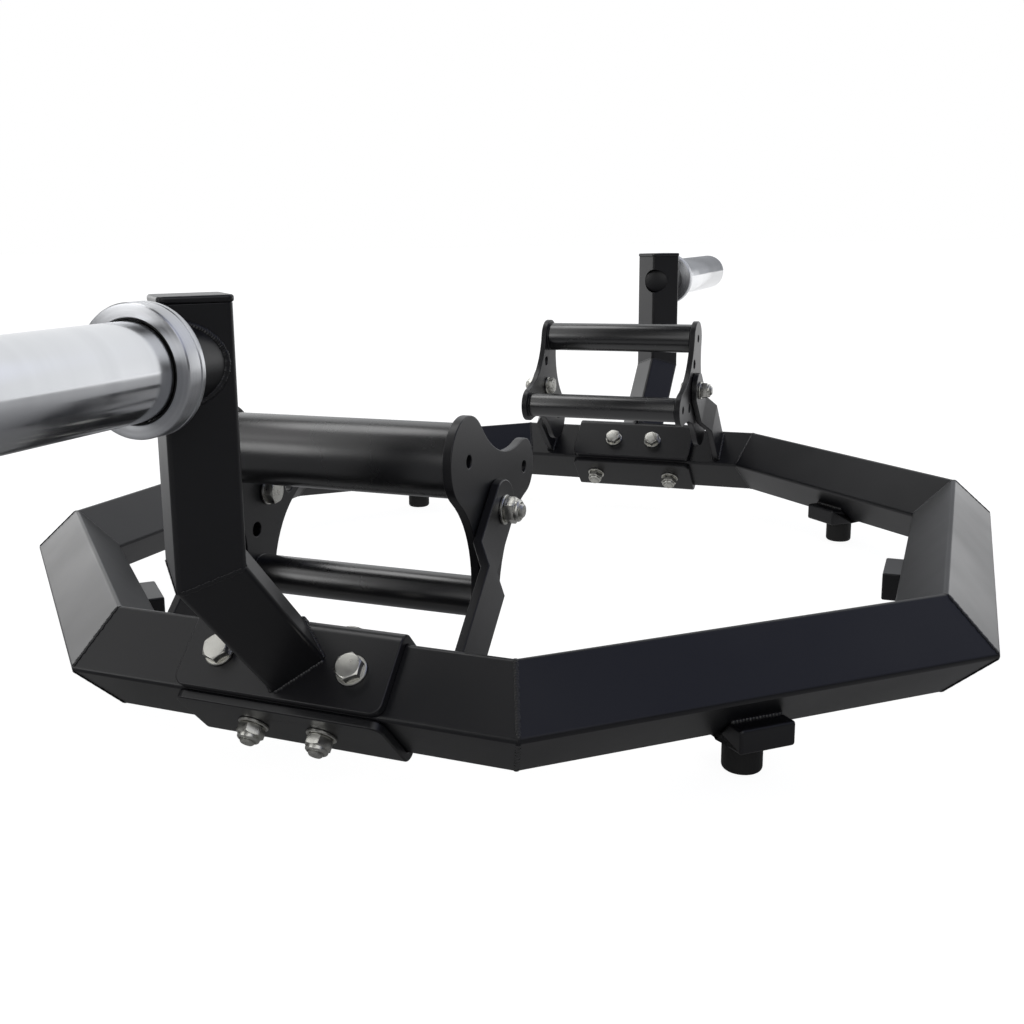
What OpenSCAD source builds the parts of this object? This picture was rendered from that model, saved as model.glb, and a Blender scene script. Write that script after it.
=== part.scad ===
// Hex trap bar with two turning multi-grip handles and two turning plate sleeves.
// +Z is up, the floor is z = 0, and the origin is under the middle of the ring.
// X runs along the sleeves and Y along the handle grips.

/* [Ring] */
// Half distance between the centre lines of the two end tubes
ring_end_x = 419; // [400:1:450]
// Half length of an end tube's centre line
ring_end_y = 143; // [135:1:152]
// Half length of a side tube's centre line
ring_side_x = 198; // [183:1:216]
// Half distance between the centre lines of the two side tubes
ring_side_y = 369; // [355:1:394]
// Width of the square ring tube
tube_w = 50.8; // [48:0.1:53]
// Wall of the square ring tube
tube_wall = 3; // [2:0.5:4]
// Outside corner radius of the ring tube
tube_corner = 3; // [2:0.5:4]

/* [Feet] */
// Diameter of a rubber foot
foot_d = 26; // [22:1:31]
// Height of a rubber foot below its block
foot_h = 23; // [18:1:29]
// Thickness of a foot block below the tube's lower edge
foot_floor = 3; // [2.5:0.5:6]
// Length of a foot block along its tube
foot_block_l = 40.5; // [37:0.5:48]
// Width of a foot block across its tube
foot_block_w = 54; // [46:1:58]
// Height of a foot block
foot_block_h = 16.5; // [12:0.5:20]
// Diameter of the screw that holds a foot
foot_screw_d = 6; // [5:1:8]
// Depth of a foot screw's seat inside the rubber
screw_sink = 10; // [7:1:12]
// Length of an inner lug along its tube
lug_l = 52; // [40:1:58]
// How far an inner lug reaches in from its tube's centre line
lug_reach = 49; // [45:1:56]
// Height of an inner lug
lug_h = 23; // [18:1:27]
// Depth of an inner lug's top below the tube's centre line
lug_drop = 3; // [2:1:6]

/* [Clamps] */
// Length of a clamp angle along the end tube
clamp_l = 146; // [138:1:156]
// Thickness of a clamp angle
clamp_t = 6; // [4:0.5:8]
// Gap between a clamp angle's free edge and the tube's next edge
clamp_short = 0.4; // [0.2:0.2:4]
// Half spacing of the two bolts whose heads are outside
clamp_bolt_wide = 47; // [44:0.5:52]
// Half spacing of the two bolts whose heads are inside
clamp_bolt_narrow = 24.5; // [22:0.5:30]
// Corner radius of a clamp angle's free corners
clamp_round = 8; // [4:1:12]

/* [Uprights] */
// Distance from an end tube's centre line out to its upright's axis
upright_out = 97.5; // [92:0.5:104]
// Width of the square upright tube, which stands edge on
upright_w = 38.1; // [36:0.1:40]
// Wall of the upright tube
upright_wall = 3; // [2:0.5:4]
// Height of the bend above the ring's centre line
upright_bend_z = 104.5; // [95:0.5:112]
// Height of an upright's top above the ring's centre line
upright_top_z = 245.5; // [241:0.5:260]
// Thickness of the cap on an upright
cap_t = 4; // [3:0.5:6]
// Overhang of the cap past the upright tube
cap_over = 0.8; // [0.5:0.1:1.5]

/* [Sleeves] */
// Height of a sleeve's axis above the ring's centre line
sleeve_z = 214.5; // [207:0.5:217]
// Outside diameter of a plate sleeve
sleeve_d = 50; // [48:0.5:51]
// Bore of a plate sleeve
sleeve_bore_d = 37; // [36.5:0.5:41]
// Length of a sleeve outside its collar
sleeve_l = 269; // [220:1:420]
// How deep a sleeve's inner end sits in its collar
seat_depth = 7; // [5:0.5:9]
// How much smaller a sleeve's radius is inside its collar
seat_step = 0.5; // [0.3:0.1:1]
// Diameter of the fixed shaft
shaft_d = 29; // [26:0.5:30.5]
// How far the shaft's inner end lies outside an upright's inner edge
shaft_sunk = 13.5; // [10:0.5:15]
// Diameter of the boss that carries the shaft at an upright
boss_d = 46; // [41:1:50]
// Outside diameter of a collar
collar_d = 67.5; // [60:0.5:74]
// Width of a collar
collar_w = 14.5; // [12:0.5:19]
// Distance from an upright's axis out to its collar's outer face
collar_out = 51; // [48:0.5:62]
// Width of the dust seal between a sleeve and its collar
seal_w = 1; // [0.8:0.1:2]
// Length of one sleeve bushing
bushing_l = 40; // [25:1:60]
// Length of the plug in a sleeve's outer end
end_cap_l = 8; // [6:0.5:12]

/* [Handles] */
// Distance from an end tube's centre line in to its handle's pivot
pivot_in = 102.5; // [97:0.5:111]
// Height of a handle's pivot above the ring's centre line
pivot_z = 98; // [94:1:106]
// Half distance between the outer faces of a handle's two plates
plate_out_y = 91.5; // [87:0.5:95]
// Thickness of a handle plate and of an arm
plate_t = 6; // [5:0.5:7]
// Distance from the pivot to each grip's axis
lobe_r = 59.5; // [56:0.5:62]
// Diameter of the fat grip
fat_d = 48; // [44:0.5:50]
// Diameter of the medium grip
medium_d = 32.5; // [29:0.5:36]
// Diameter of the thin grip
thin_d = 27; // [24:0.5:29]
// Wall of a grip tube
grip_wall = 3; // [2:0.5:4]
// Radius of the plate round the fat grip
fat_lobe_r = 29; // [27:0.5:31]
// Radius of the plate round the medium grip
medium_lobe_r = 20; // [19:0.5:23]
// Radius of the plate round the thin grip
thin_lobe_r = 18.5; // [16.5:0.5:21]
// Radius of the hollow between two lobes
waist_r = 72; // [62:1:87]
// Diameter of the hole at the centre of each lobe
lobe_hole_d = 8.5; // [6:0.5:10.5]
// Diameter of an index hole
index_hole_d = 10.5; // [8:0.5:11.5]
// Distance from the pivot to an index hole
index_r = 30; // [28:0.5:31]
// Angle of the near handle's medium lobe, from inwards towards up
rest_near = 18; // [0:1:359]
// Angle of the far handle's medium lobe, from inwards towards up
rest_far = 105; // [0:1:359]
// Width of an arm
arm_w = 38.5; // [35:0.5:42]
// How far an arm's foot stands outside its head
arm_joggle = 10; // [8:0.5:14]
// Distance from the pivot to the start of the arm's joggle
joggle_start = 39; // [34:1:44]
// Length of the joggle along the arm
joggle_l = 17; // [14:1:24]

/* [Fasteners] */
// Diameter of the bolts
bolt_d = 10; // [8:1:12]
// Width of a bolt's head and nut across the flats
hex_af = 16; // [15:0.5:18]
// Height of a bolt's head
head_h = 6.4; // [5:0.2:8]
// Height of a nut with its locking ring
nut_h = 10; // [9:0.5:12]
// Height of a nut's hexagon
nut_hex_h = 7; // [6:0.5:8.5]
// Outside diameter of a washer
washer_d = 20; // [19:0.5:24]
// Thickness of a washer
washer_t = 2; // [1:0.2:3]
// How far a bolt's end stands out of its nut
bolt_proud = 2; // [1:0.5:4]

/* [Fits] */
// Gap between faces of pieces that are fixed together
fit_gap = 0.05; // [0.02:0.01:0.1]
// Radial running clearance of shafts and pivots
run_gap = 0.05; // [0.02:0.01:0.09]
// Side gap between pieces that move past each other
side_gap = 0.4; // [0.3:0.05:0.6]

/* [Hidden] */
$fn = 64;

black = [0.09, 0.09, 0.1];
steel = [0.75, 0.76, 0.78];
zinc = [0.82, 0.83, 0.8];
rubber = [0.03, 0.03, 0.03];
bronze = [0.7, 0.5, 0.25];

// Sides of the ring, counted from the near end and round by the right
near = 0;
far = 4;
ends = [near, far];
foot_sides = [1, 3, 5, 7];
lug_sides = [1, 2, 6, 7];
right = -1;
left = 1;

// Height of a square bar's edge above its centre when it lies edge on
half_diag = tube_w / sqrt(2);
upright_half_diag = upright_w / sqrt(2);
ring_z = half_diag + foot_floor + foot_h;
// Larger than anything that is cut
big = 400;
// How far a cutting tool reaches past what it cuts
overcut = 2;
// Depth of the small chamfers on turned pieces
chamfer = 1.2;

foot_ease = 2;
screw_head_d = 10;
screw_head_h = 4;

// Outer face of a clamp angle, measured from the tube's centre
clamp_out = tube_w / 2 + clamp_t;
clamp_bolt_l = 2 * (clamp_out + washer_t) + nut_h + bolt_proud;

// Lean of an upright's foot, which stands square on the clamp's outer leg
lean = 45;
upright_x = ring_end_x + upright_out;
// Length of the leaning foot's axis, from the clamp up to the bend
lean_l = (upright_out + upright_bend_z) / sqrt(2) - clamp_out;

collar_face_x = upright_x + collar_out;
sleeve_end_x = collar_face_x + sleeve_l;
collar_back_x = collar_face_x - collar_w;
collar_floor_x = collar_face_x - seat_depth - side_gap;
seal_in_r = sleeve_d / 2 + side_gap;
seal_out_r = seal_in_r + seal_w;
collar_groove_w = 1;
collar_groove_from_back = 3.5;
// How far a shaft stops short of its sleeve's plug
shaft_short = 4;
shaft_end_x = sleeve_end_x - end_cap_l - shaft_short;
snap_ring_t = 1.5;
snap_ring_depth = 1.5;
snap_ring_stand = 2.5;
snap_ring_mouth = 4;
snap_ring_from_end = 6;
snap_ring_x = shaft_end_x - snap_ring_from_end;

plate_in_y = plate_out_y - plate_t;
arm_in_y = plate_out_y + side_gap;
arm_out_y = arm_in_y + plate_t;
pivot_head_y = plate_in_y - side_gap - washer_t;
pivot_bolt_l = arm_out_y + washer_t + nut_h + bolt_proud - pivot_head_y;

pivot_x = ring_end_x - pivot_in;
// An arm runs straight from the pivot to the middle of the tube's upper inner face
arm_run = pivot_in - half_diag / 2;
arm_fall = pivot_z - half_diag / 2;
arm_length = norm([arm_run, arm_fall]);
arm_slope = atan2(arm_fall, arm_run);
joggle_end = joggle_start + joggle_l;
// How far a bend's outside lies behind its inside along the arm
bend_lag = plate_t * tan(atan2(arm_joggle, joggle_l) / 2);
// How much larger the radius of an arm's head is than half its width
head_ease = 0.8;

// Lobes of a handle plate, each a third of a turn after the one before
medium = 0;
fat = 1;
thin = 2;
lobe_radii = [medium_lobe_r, fat_lobe_r, thin_lobe_r];
lobe_step = 120;
// An index hole lies this many degrees before the medium and the thin lobe
index_lead = 21;

// Ring corners in plan, in order round the ring from the near left one
corners = [
    [-ring_end_x, ring_end_y], [-ring_end_x, -ring_end_y],
    [-ring_side_x, -ring_side_y], [ring_side_x, -ring_side_y],
    [ring_end_x, -ring_end_y], [ring_end_x, ring_end_y],
    [ring_side_x, ring_side_y], [-ring_side_x, ring_side_y]
];
function corner(i) = corners[(i + 8) % 8];
function side_mid(i) = (corner(i) + corner(i + 1)) / 2;
function side_length(i) = norm(corner(i + 1) - corner(i));
function side_angle(i) = let (d = corner(i + 1) - corner(i)) atan2(d[1], d[0]);
// Half of the turn that the ring makes at corner i
function mitre(i) = let (turn = side_angle(i) - side_angle(i - 1))
    (turn > 180 ? turn - 360 : turn < -180 ? turn + 360 : turn) / 2;

// A square with rounded corners, centred
module rounded_square(w, r) {
    square([w - 2 * r, w], center = true);
    square([w, w - 2 * r], center = true);
    for (sx = [-1, 1], sy = [-1, 1])
        translate([sx * (w / 2 - r), sy * (w / 2 - r)]) circle(r = r);
}

// A square tube along +Z that stands edge on, from z = 0
module square_tube(w, wall, length) {
    linear_extrude(length)
        rotate(45)
            difference() {
                rounded_square(w, tube_corner);
                square(w - 2 * wall, center = true);
            }
}

// Places its children at the middle of side i, with +X along the side and +Y inwards
module at_side(i) {
    translate([side_mid(i)[0], side_mid(i)[1], ring_z])
        rotate([0, 0, side_angle(i)]) children();
}

// One ring tube, from corner i to corner i + 1, with mitred ends
module ring_tube(i) {
    half = side_length(i) / 2;
    at_side(i)
        difference() {
            translate([-half - tube_w, 0, 0])
                rotate([0, 90, 0]) square_tube(tube_w, tube_wall, 2 * (half + tube_w));
            translate([half, 0, 0])
                rotate([0, 0, mitre(i + 1)])
                    translate([0, -big / 2, -big / 2]) cube(big);
            translate([-half, 0, 0])
                rotate([0, 0, -mitre(i)])
                    translate([-big, -big / 2, -big / 2]) cube(big);
        }
}

module side_tube(i) {
    color(black) ring_tube(i);
}

module end_tube(i) {
    color(black)
        difference() {
            ring_tube(i);
            at_clamp(i) clamp_holes();
        }
}

// The room that a ring tube takes, cut out of a piece that sits against it
module tube_space() {
    rotate([45, 0, 0])
        cube([big, tube_w + 2 * fit_gap, tube_w + 2 * fit_gap], center = true);
}

// The plain box of a foot block, grown by gap on every side
module foot_block_box(gap) {
    translate([-foot_block_l / 2 - gap, -foot_block_w / 2 - gap, -half_diag - foot_floor - gap])
        cube([foot_block_l + 2 * gap, foot_block_w + 2 * gap, foot_block_h + 2 * gap]);
}

// A block that straddles the tube's lower edge and carries a foot
module foot_block(i) {
    color(black)
        at_side(i)
            difference() {
                foot_block_box(0);
                tube_space();
                translate([0, 0, -half_diag - foot_floor - 1])
                    cylinder(d = foot_screw_d + 2 * fit_gap, h = foot_block_h);
            }
}

// Round feet with an eased lower edge and a sunk seat for the screw
module rubber_feet() {
    color(rubber)
        for (i = foot_sides)
            at_side(i)
                translate([0, 0, -ring_z])
                    rotate_extrude()
                        polygon([
                            [screw_head_d / 2 + side_gap, 0],
                            [foot_d / 2 - foot_ease, 0],
                            [foot_d / 2, foot_ease],
                            [foot_d / 2, foot_h],
                            [foot_screw_d / 2 + fit_gap, foot_h],
                            [foot_screw_d / 2 + fit_gap, screw_sink],
                            [screw_head_d / 2 + side_gap, screw_sink]
                        ]);
}

// Screws that bear on the seat inside each foot and end at the tube's lower edge
module foot_screws() {
    color(zinc)
        for (i = foot_sides)
            at_side(i)
                translate([0, 0, screw_sink - ring_z]) {
                    translate([0, 0, -screw_head_h]) cylinder(d = screw_head_d, h = screw_head_h);
                    translate([0, 0, -screw_head_h / 2])
                        cylinder(d = foot_screw_d, h = screw_head_h / 2 + foot_h + foot_floor - screw_sink);
                }
}

// Lugs inside the ring, notched over the foot block where their side, an odd one, has a foot
module inner_lugs() {
    color(black)
        for (i = lug_sides)
            at_side(i)
                difference() {
                    translate([-lug_l / 2, 0, -lug_drop - lug_h]) cube([lug_l, lug_reach, lug_h]);
                    tube_space();
                    if (i % 2 == 1) foot_block_box(fit_gap);
                }
}

// Places its children in an end tube, with +Y and +Z square to its two upper faces
module at_clamp(end) {
    at_side(end) rotate([45, 0, 0]) children();
}

// Places its children at each clamp bolt, with +Z towards the bolt's head
module at_clamp_bolts() {
    for (sx = [-1, 1]) {
        translate([sx * clamp_bolt_wide, 0, 0]) children();
        translate([sx * clamp_bolt_narrow, 0, 0]) rotate([-90, 0, 0]) children();
    }
}

module clamp_holes() {
    at_clamp_bolts() cylinder(d = bolt_d + 2 * fit_gap, h = 4 * tube_w, center = true);
}

// One leg of a clamp angle, on the +Z face, with its free corners rounded
module clamp_leg() {
    free_y = clamp_short - tube_w / 2;
    bend_y = tube_w / 2 - tube_corner;
    translate([0, 0, tube_w / 2])
        linear_extrude(clamp_t) {
            translate([-clamp_l / 2, free_y + clamp_round])
                square([clamp_l, bend_y - free_y - clamp_round]);
            translate([clamp_round - clamp_l / 2, free_y])
                square([clamp_l - 2 * clamp_round, bend_y - free_y]);
            for (sx = [-1, 1])
                translate([sx * (clamp_l / 2 - clamp_round), free_y + clamp_round])
                    circle(r = clamp_round);
        }
}

// An angle bent over the tube's top edge and bolted through the tube
module clamp_angle() {
    difference() {
        union() {
            clamp_leg();
            mirror([0, 1, -1]) clamp_leg();
            translate([0, tube_w / 2 - tube_corner, tube_w / 2 - tube_corner])
                rotate([0, 90, 0]) cylinder(r = tube_corner + clamp_t, h = clamp_l, center = true);
        }
        rotate([0, 90, 0])
            linear_extrude(2 * clamp_l, center = true)
                rounded_square(tube_w + 2 * fit_gap, tube_corner);
        clamp_holes();
    }
}

module clamp_top(end) {
    color(black) at_clamp(end) clamp_angle();
}

module clamp_bottom(end) {
    color(black) at_clamp(end) rotate([180, 0, 0]) clamp_angle();
}

// A washer standing on z = 0
module washer() {
    difference() {
        cylinder(d = washer_d, h = washer_t);
        translate([0, 0, -1]) cylinder(d = bolt_d + 2 * fit_gap, h = washer_t + 2);
    }
}

// A bolt whose head stands on z = 0 and whose shank runs down from it
module hex_bolt(length) {
    cylinder(d = hex_af / cos(30), h = head_h, $fn = 6);
    translate([0, 0, -length]) cylinder(d = bolt_d, h = length + head_h / 2);
}

// A nut standing on z = 0, with its round locking ring on top
module lock_nut() {
    difference() {
        union() {
            cylinder(d = hex_af / cos(30), h = nut_hex_h, $fn = 6);
            cylinder(d = hex_af - 1, h = nut_h);
        }
        translate([0, 0, -1]) cylinder(d = bolt_d + 2 * fit_gap, h = nut_h + 2);
    }
}

module clamp_bolts() {
    color(zinc)
        for (end = ends)
            at_clamp(end) at_clamp_bolts()
                translate([0, 0, clamp_out + washer_t]) hex_bolt(clamp_bolt_l);
}

module clamp_washers() {
    color(zinc)
        for (end = ends)
            at_clamp(end) at_clamp_bolts() {
                translate([0, 0, clamp_out]) washer();
                translate([0, 0, -clamp_out - washer_t]) washer();
            }
}

module clamp_nuts() {
    color(zinc)
        for (end = ends)
            at_clamp(end) at_clamp_bolts()
                mirror([0, 0, 1]) translate([0, 0, clamp_out + washer_t]) lock_nut();
}

// Places its children at the bend of an end's upright, with -Y outwards
module at_bend(end) {
    at_side(end) translate([0, -upright_out, upright_bend_z]) children();
}

// The half of space above the bend's mitre, or with flip = 1 the half below it
module mitre_space(flip) {
    rotate([lean / 2, 0, 0])
        mirror([0, 0, flip]) translate([-big / 2, -big / 2, 0]) cube(big);
}

// The leaning lower part of an upright, welded to the clamp's outer leg
module upright_foot(end) {
    color(black)
        at_bend(end)
            difference() {
                rotate([lean, 0, 0])
                    translate([0, 0, -lean_l])
                        square_tube(upright_w, upright_wall, lean_l + upright_w);
                mitre_space(0);
            }
}

// The standing upper part of an upright, bored for the shaft
module upright(end) {
    color(black)
        at_bend(end)
            difference() {
                translate([0, 0, -upright_w])
                    square_tube(upright_w, upright_wall, upright_top_z - upright_bend_z + upright_w);
                mitre_space(1);
                translate([0, 0, sleeve_z - upright_bend_z])
                    rotate([90, 0, 0])
                        cylinder(d = shaft_d + 2 * fit_gap, h = 3 * upright_w, center = true);
            }
}

module upright_cap(end) {
    color(black)
        at_side(end)
            translate([0, -upright_out, upright_top_z])
                linear_extrude(cap_t)
                    rotate(45) rounded_square(upright_w + 2 * cap_over, tube_corner + cap_over);
}

// Places its children on a sleeve's axis, with z counted outwards from the middle of the bar
module at_sleeve(end) {
    at_side(end) translate([0, ring_end_x, sleeve_z]) rotate([90, 0, 0]) children();
}

// A round ring from z0 to z1 on the sleeve's axis
module ring_between(r_out, r_in, z0, z1) {
    translate([0, 0, z0])
        difference() {
            cylinder(r = r_out, h = z1 - z0);
            translate([0, 0, -1]) cylinder(r = r_in, h = z1 - z0 + 2);
        }
}

module shaft(end) {
    inner_end = upright_x - upright_half_diag + shaft_sunk;
    groove_end = snap_ring_x + snap_ring_t + 2 * fit_gap;
    r = shaft_d / 2;
    color(steel)
        at_sleeve(end)
            rotate_extrude()
                polygon([
                    [0, inner_end], [r - chamfer, inner_end], [r, inner_end + chamfer],
                    [r, snap_ring_x], [r - snap_ring_depth, snap_ring_x],
                    [r - snap_ring_depth, groove_end], [r, groove_end],
                    [r, shaft_end_x - chamfer], [r - chamfer, shaft_end_x], [0, shaft_end_x]
                ]);
}

// A boss between the upright's outer edge and the collar
module shaft_boss(end) {
    color(black)
        difference() {
            at_sleeve(end) ring_between(boss_d / 2, shaft_d / 2 + fit_gap, upright_x, collar_back_x);
            at_side(end)
                translate([0, -upright_out, sleeve_z])
                    rotate(45)
                        cube([upright_w + 2 * fit_gap, upright_w + 2 * fit_gap, big], center = true);
        }
}

// A fixed collar with a thin groove near its back and a pocket for the sleeve's inner end
module collar(end) {
    r = collar_d / 2;
    groove = collar_back_x + collar_groove_from_back;
    color(steel)
        at_sleeve(end)
            rotate_extrude()
                polygon([
                    [shaft_d / 2 + fit_gap, collar_back_x], [r - chamfer, collar_back_x],
                    [r, collar_back_x + chamfer], [r, groove],
                    [r - collar_groove_w, groove],
                    [r - collar_groove_w, groove + collar_groove_w],
                    [r, groove + collar_groove_w],
                    [r, collar_face_x - chamfer], [r - chamfer, collar_face_x],
                    [seal_out_r + fit_gap, collar_face_x], [seal_out_r + fit_gap, collar_floor_x],
                    [shaft_d / 2 + fit_gap, collar_floor_x]
                ]);
}

module dust_seal(end) {
    color(rubber)
        at_sleeve(end)
            ring_between(seal_out_r, seal_in_r, collar_floor_x + fit_gap, collar_face_x - side_gap);
}

// Open rings that snap into the shafts' grooves and hold the sleeves on
module snap_rings() {
    color(steel)
        for (end = ends)
            at_sleeve(end)
                translate([0, 0, snap_ring_x + fit_gap])
                    difference() {
                        ring_between(shaft_d / 2 + snap_ring_stand,
                            shaft_d / 2 - snap_ring_depth + fit_gap, 0, snap_ring_t);
                        translate([-snap_ring_mouth / 2, 0, -1])
                            cube([snap_ring_mouth, shaft_d, snap_ring_t + 2]);
                    }
}

module sleeve(end) {
    bore_r = sleeve_bore_d / 2;
    r = sleeve_d / 2;
    color(steel)
        at_sleeve(end)
            rotate_extrude()
                polygon([
                    [bore_r, collar_face_x - seat_depth], [r - seat_step, collar_face_x - seat_depth],
                    [r - seat_step, collar_face_x], [r, collar_face_x],
                    [r, sleeve_end_x - chamfer], [r - chamfer, sleeve_end_x],
                    [bore_r, sleeve_end_x]
                ]);
}

// Two plain bushings pressed into a sleeve, one at each end of the shaft
module bushings(end) {
    color(bronze)
        at_sleeve(end)
            for (z = [collar_face_x - seat_depth, snap_ring_x - side_gap - bushing_l])
                ring_between(sleeve_bore_d / 2 - fit_gap, shaft_d / 2 + run_gap, z, z + bushing_l);
}

module end_cap(end) {
    color(black)
        at_sleeve(end)
            translate([0, 0, sleeve_end_x - end_cap_l])
                cylinder(d = sleeve_bore_d - 2 * fit_gap, h = end_cap_l);
}

// Places its children at an end's pivot, with +X inwards and +Y to the left
module at_pivot(end) {
    mirror([end == far ? 1 : 0, 0, 0])
        translate([-pivot_x, 0, ring_z + pivot_z]) children();
}

// Turns its children about the pivot, from inwards towards up
module turned(angle) {
    rotate([0, -angle, 0]) children();
}

// A bar along Y at the pivot, from y = 0
module cylinder_y(d, h) {
    rotate([-90, 0, 0]) cylinder(d = d, h = h);
}

// An arm's edge seen across its width: its head, a joggle outwards and its foot
module arm_profile() {
    arm_end = arm_length + plate_t;
    polygon([
        [-arm_w, 0], [joggle_start, 0],
        [joggle_end, arm_joggle], [arm_end, arm_joggle],
        [arm_end, arm_joggle + plate_t], [joggle_end - bend_lag, arm_joggle + plate_t],
        [joggle_start - bend_lag, plate_t], [-arm_w, plate_t]
    ]);
}

// What is cut off an arm to round its head, a little wider than the arm itself
module arm_head_cut() {
    difference() {
        translate([-2 * arm_w, -overcut, -arm_w])
            cube([2 * arm_w, plate_t + 2 * overcut, 2 * arm_w]);
        translate([0, -2 * overcut, 0])
            cylinder_y(arm_w + 2 * head_ease, plate_t + 4 * overcut);
    }
}

// A flat arm that carries a handle's pivot and is welded to the end tube
module arm(end, hand) {
    color(black)
        difference() {
            at_pivot(end)
                mirror([0, hand == right ? 1 : 0, 0])
                    translate([0, arm_in_y, 0])
                        turned(180 + arm_slope)
                            difference() {
                                linear_extrude(arm_w, center = true) arm_profile();
                                arm_head_cut();
                                translate([0, -1, 0]) cylinder_y(bolt_d + 2 * fit_gap, plate_t + 2);
                            }
            at_side(end) tube_space();
        }
}

// Places its children at both ends of both pivots, with +Z outwards
module at_pivot_ends() {
    for (end = ends, hand = [right, left])
        at_pivot(end) rotate([-90 * hand, 0, 0]) children();
}

module pivot_bolts() {
    color(zinc)
        at_pivot_ends()
            translate([0, 0, pivot_head_y]) mirror([0, 0, 1]) hex_bolt(pivot_bolt_l);
}

module pivot_washers() {
    color(zinc)
        at_pivot_ends()
            for (z = [pivot_head_y, arm_out_y]) translate([0, 0, z]) washer();
}

module pivot_nuts() {
    color(zinc)
        at_pivot_ends() translate([0, 0, arm_out_y + washer_t]) lock_nut();
}

function polar(r, angle) = r * [cos(angle), sin(angle)];
function lobe_centre(k) = polar(lobe_r, lobe_step * k);
// Centre of the round hollow that touches lobe k and the lobe after it
function hollow_centre(k) =
    let (
        a = lobe_centre(k),
        b = lobe_centre(k + 1),
        reach_a = lobe_radii[k] + waist_r,
        reach_b = lobe_radii[(k + 1) % 3] + waist_r,
        span = norm(b - a),
        along = (b - a) / span,
        foot = (reach_a * reach_a - reach_b * reach_b + span * span) / (2 * span)
    )
    a + foot * along + sqrt(reach_a * reach_a - foot * foot) * [along[1], -along[0]];

// Angle of the way from one point to another
function bearing(from, to) = atan2(to[1] - from[1], to[0] - from[0]);
// An arc's points, without its last one, which begins the next arc
function arc(centre, r, start, sweep, steps) =
    [for (i = [0 : steps - 1]) centre + polar(r, start + sweep * i / steps)];
// A turn from one angle to another, brought between 0 and 360
function turn_between(a, b) = let (t = b - a) t - 360 * floor(t / 360);

// The round end of lobe k, and the hollow that follows it
function lobe_arc(k) =
    let (
        start = bearing(lobe_centre(k), hollow_centre((k + 2) % 3)),
        sweep = turn_between(start, bearing(lobe_centre(k), hollow_centre(k)))
    )
    arc(lobe_centre(k), lobe_radii[k], start, sweep, 28);
function hollow_arc(k) =
    let (
        start = bearing(hollow_centre(k), lobe_centre(k)),
        sweep = -turn_between(bearing(hollow_centre(k), lobe_centre(k + 1)), start)
    )
    arc(hollow_centre(k), waist_r, start, sweep, 12);

// Three round lobes joined by round hollows, with the medium lobe on +X
module plate_outline() {
    polygon([for (k = [medium, fat, thin], p = concat(lobe_arc(k), hollow_arc(k))) p]);
}

module plate_holes() {
    circle(d = bolt_d + 2 * run_gap);
    for (k = [medium, fat, thin]) translate(lobe_centre(k)) circle(d = lobe_hole_d);
    for (k = [medium, thin])
        translate(polar(index_r, lobe_step * k - index_lead)) circle(d = index_hole_d);
}

function rest_angle(end) = end == near ? rest_near : rest_far;

module handle_plate(end, hand) {
    color(black)
        at_pivot(end)
            translate([0, hand == right ? -plate_in_y : plate_out_y, 0])
                rotate([90, 0, 0])
                    linear_extrude(plate_t)
                        rotate(rest_angle(end))
                            difference() {
                                plate_outline();
                                plate_holes();
                            }
}

// A grip tube welded between a handle's two plates, on the axis of lobe k
module grip(end, k, d) {
    color(black)
        at_pivot(end)
            turned(rest_angle(end) + lobe_step * k)
                translate([lobe_r, -plate_in_y, 0])
                    difference() {
                        cylinder_y(d, 2 * plate_in_y);
                        translate([0, -1, 0]) cylinder_y(d - 2 * grip_wall, 2 * plate_in_y + 2);
                    }
}

end_tube(near);  // tube_end_near
end_tube(far);  // tube_end_far
side_tube(2);  // tube_side_right
side_tube(6);  // tube_side_left
side_tube(1);  // tube_corner_near_right
side_tube(3);  // tube_corner_far_right
side_tube(5);  // tube_corner_far_left
side_tube(7);  // tube_corner_near_left
foot_block(1);  // foot_block_near_right
foot_block(3);  // foot_block_far_right
foot_block(5);  // foot_block_far_left
foot_block(7);  // foot_block_near_left
rubber_feet();
foot_screws();
inner_lugs();
clamp_top(near);  // clamp_top_near
clamp_top(far);  // clamp_top_far
clamp_bottom(near);  // clamp_bottom_near
clamp_bottom(far);  // clamp_bottom_far
clamp_bolts();
clamp_washers();
clamp_nuts();
upright_foot(near);  // upright_foot_near
upright_foot(far);  // upright_foot_far
upright(near);  // upright_near
upright(far);  // upright_far
upright_cap(near);  // upright_cap_near
upright_cap(far);  // upright_cap_far
shaft(near);  // shaft_near
shaft(far);  // shaft_far
shaft_boss(near);  // shaft_boss_near
shaft_boss(far);  // shaft_boss_far
collar(near);  // collar_near
collar(far);  // collar_far
dust_seal(near);  // dust_seal_near
dust_seal(far);  // dust_seal_far
snap_rings();
sleeve(near);  // sleeve_near
sleeve(far);  // sleeve_far
bushings(near);  // bushings_near
bushings(far);  // bushings_far
end_cap(near);  // end_cap_near
end_cap(far);  // end_cap_far
arm(near, right);  // arm_near_right
arm(near, left);  // arm_near_left
arm(far, right);  // arm_far_right
arm(far, left);  // arm_far_left
pivot_bolts();
pivot_washers();
pivot_nuts();
handle_plate(near, right);  // handle_plate_near_right
handle_plate(near, left);  // handle_plate_near_left
handle_plate(far, right);  // handle_plate_far_right
handle_plate(far, left);  // handle_plate_far_left
grip(near, fat, fat_d);  // fat_grip_near
grip(near, thin, thin_d);  // thin_grip_near
grip(far, medium, medium_d);  // medium_grip_far
grip(far, thin, thin_d);  // thin_grip_far
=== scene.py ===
"""Looks of a hex trap bar: its finishes, eased edges, welds, fasteners and turned parts."""

import logging
import math
from dataclasses import dataclass, field
from enum import Enum
from typing import Iterator, Sequence

import bpy
from mathutils import Matrix, Vector

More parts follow.
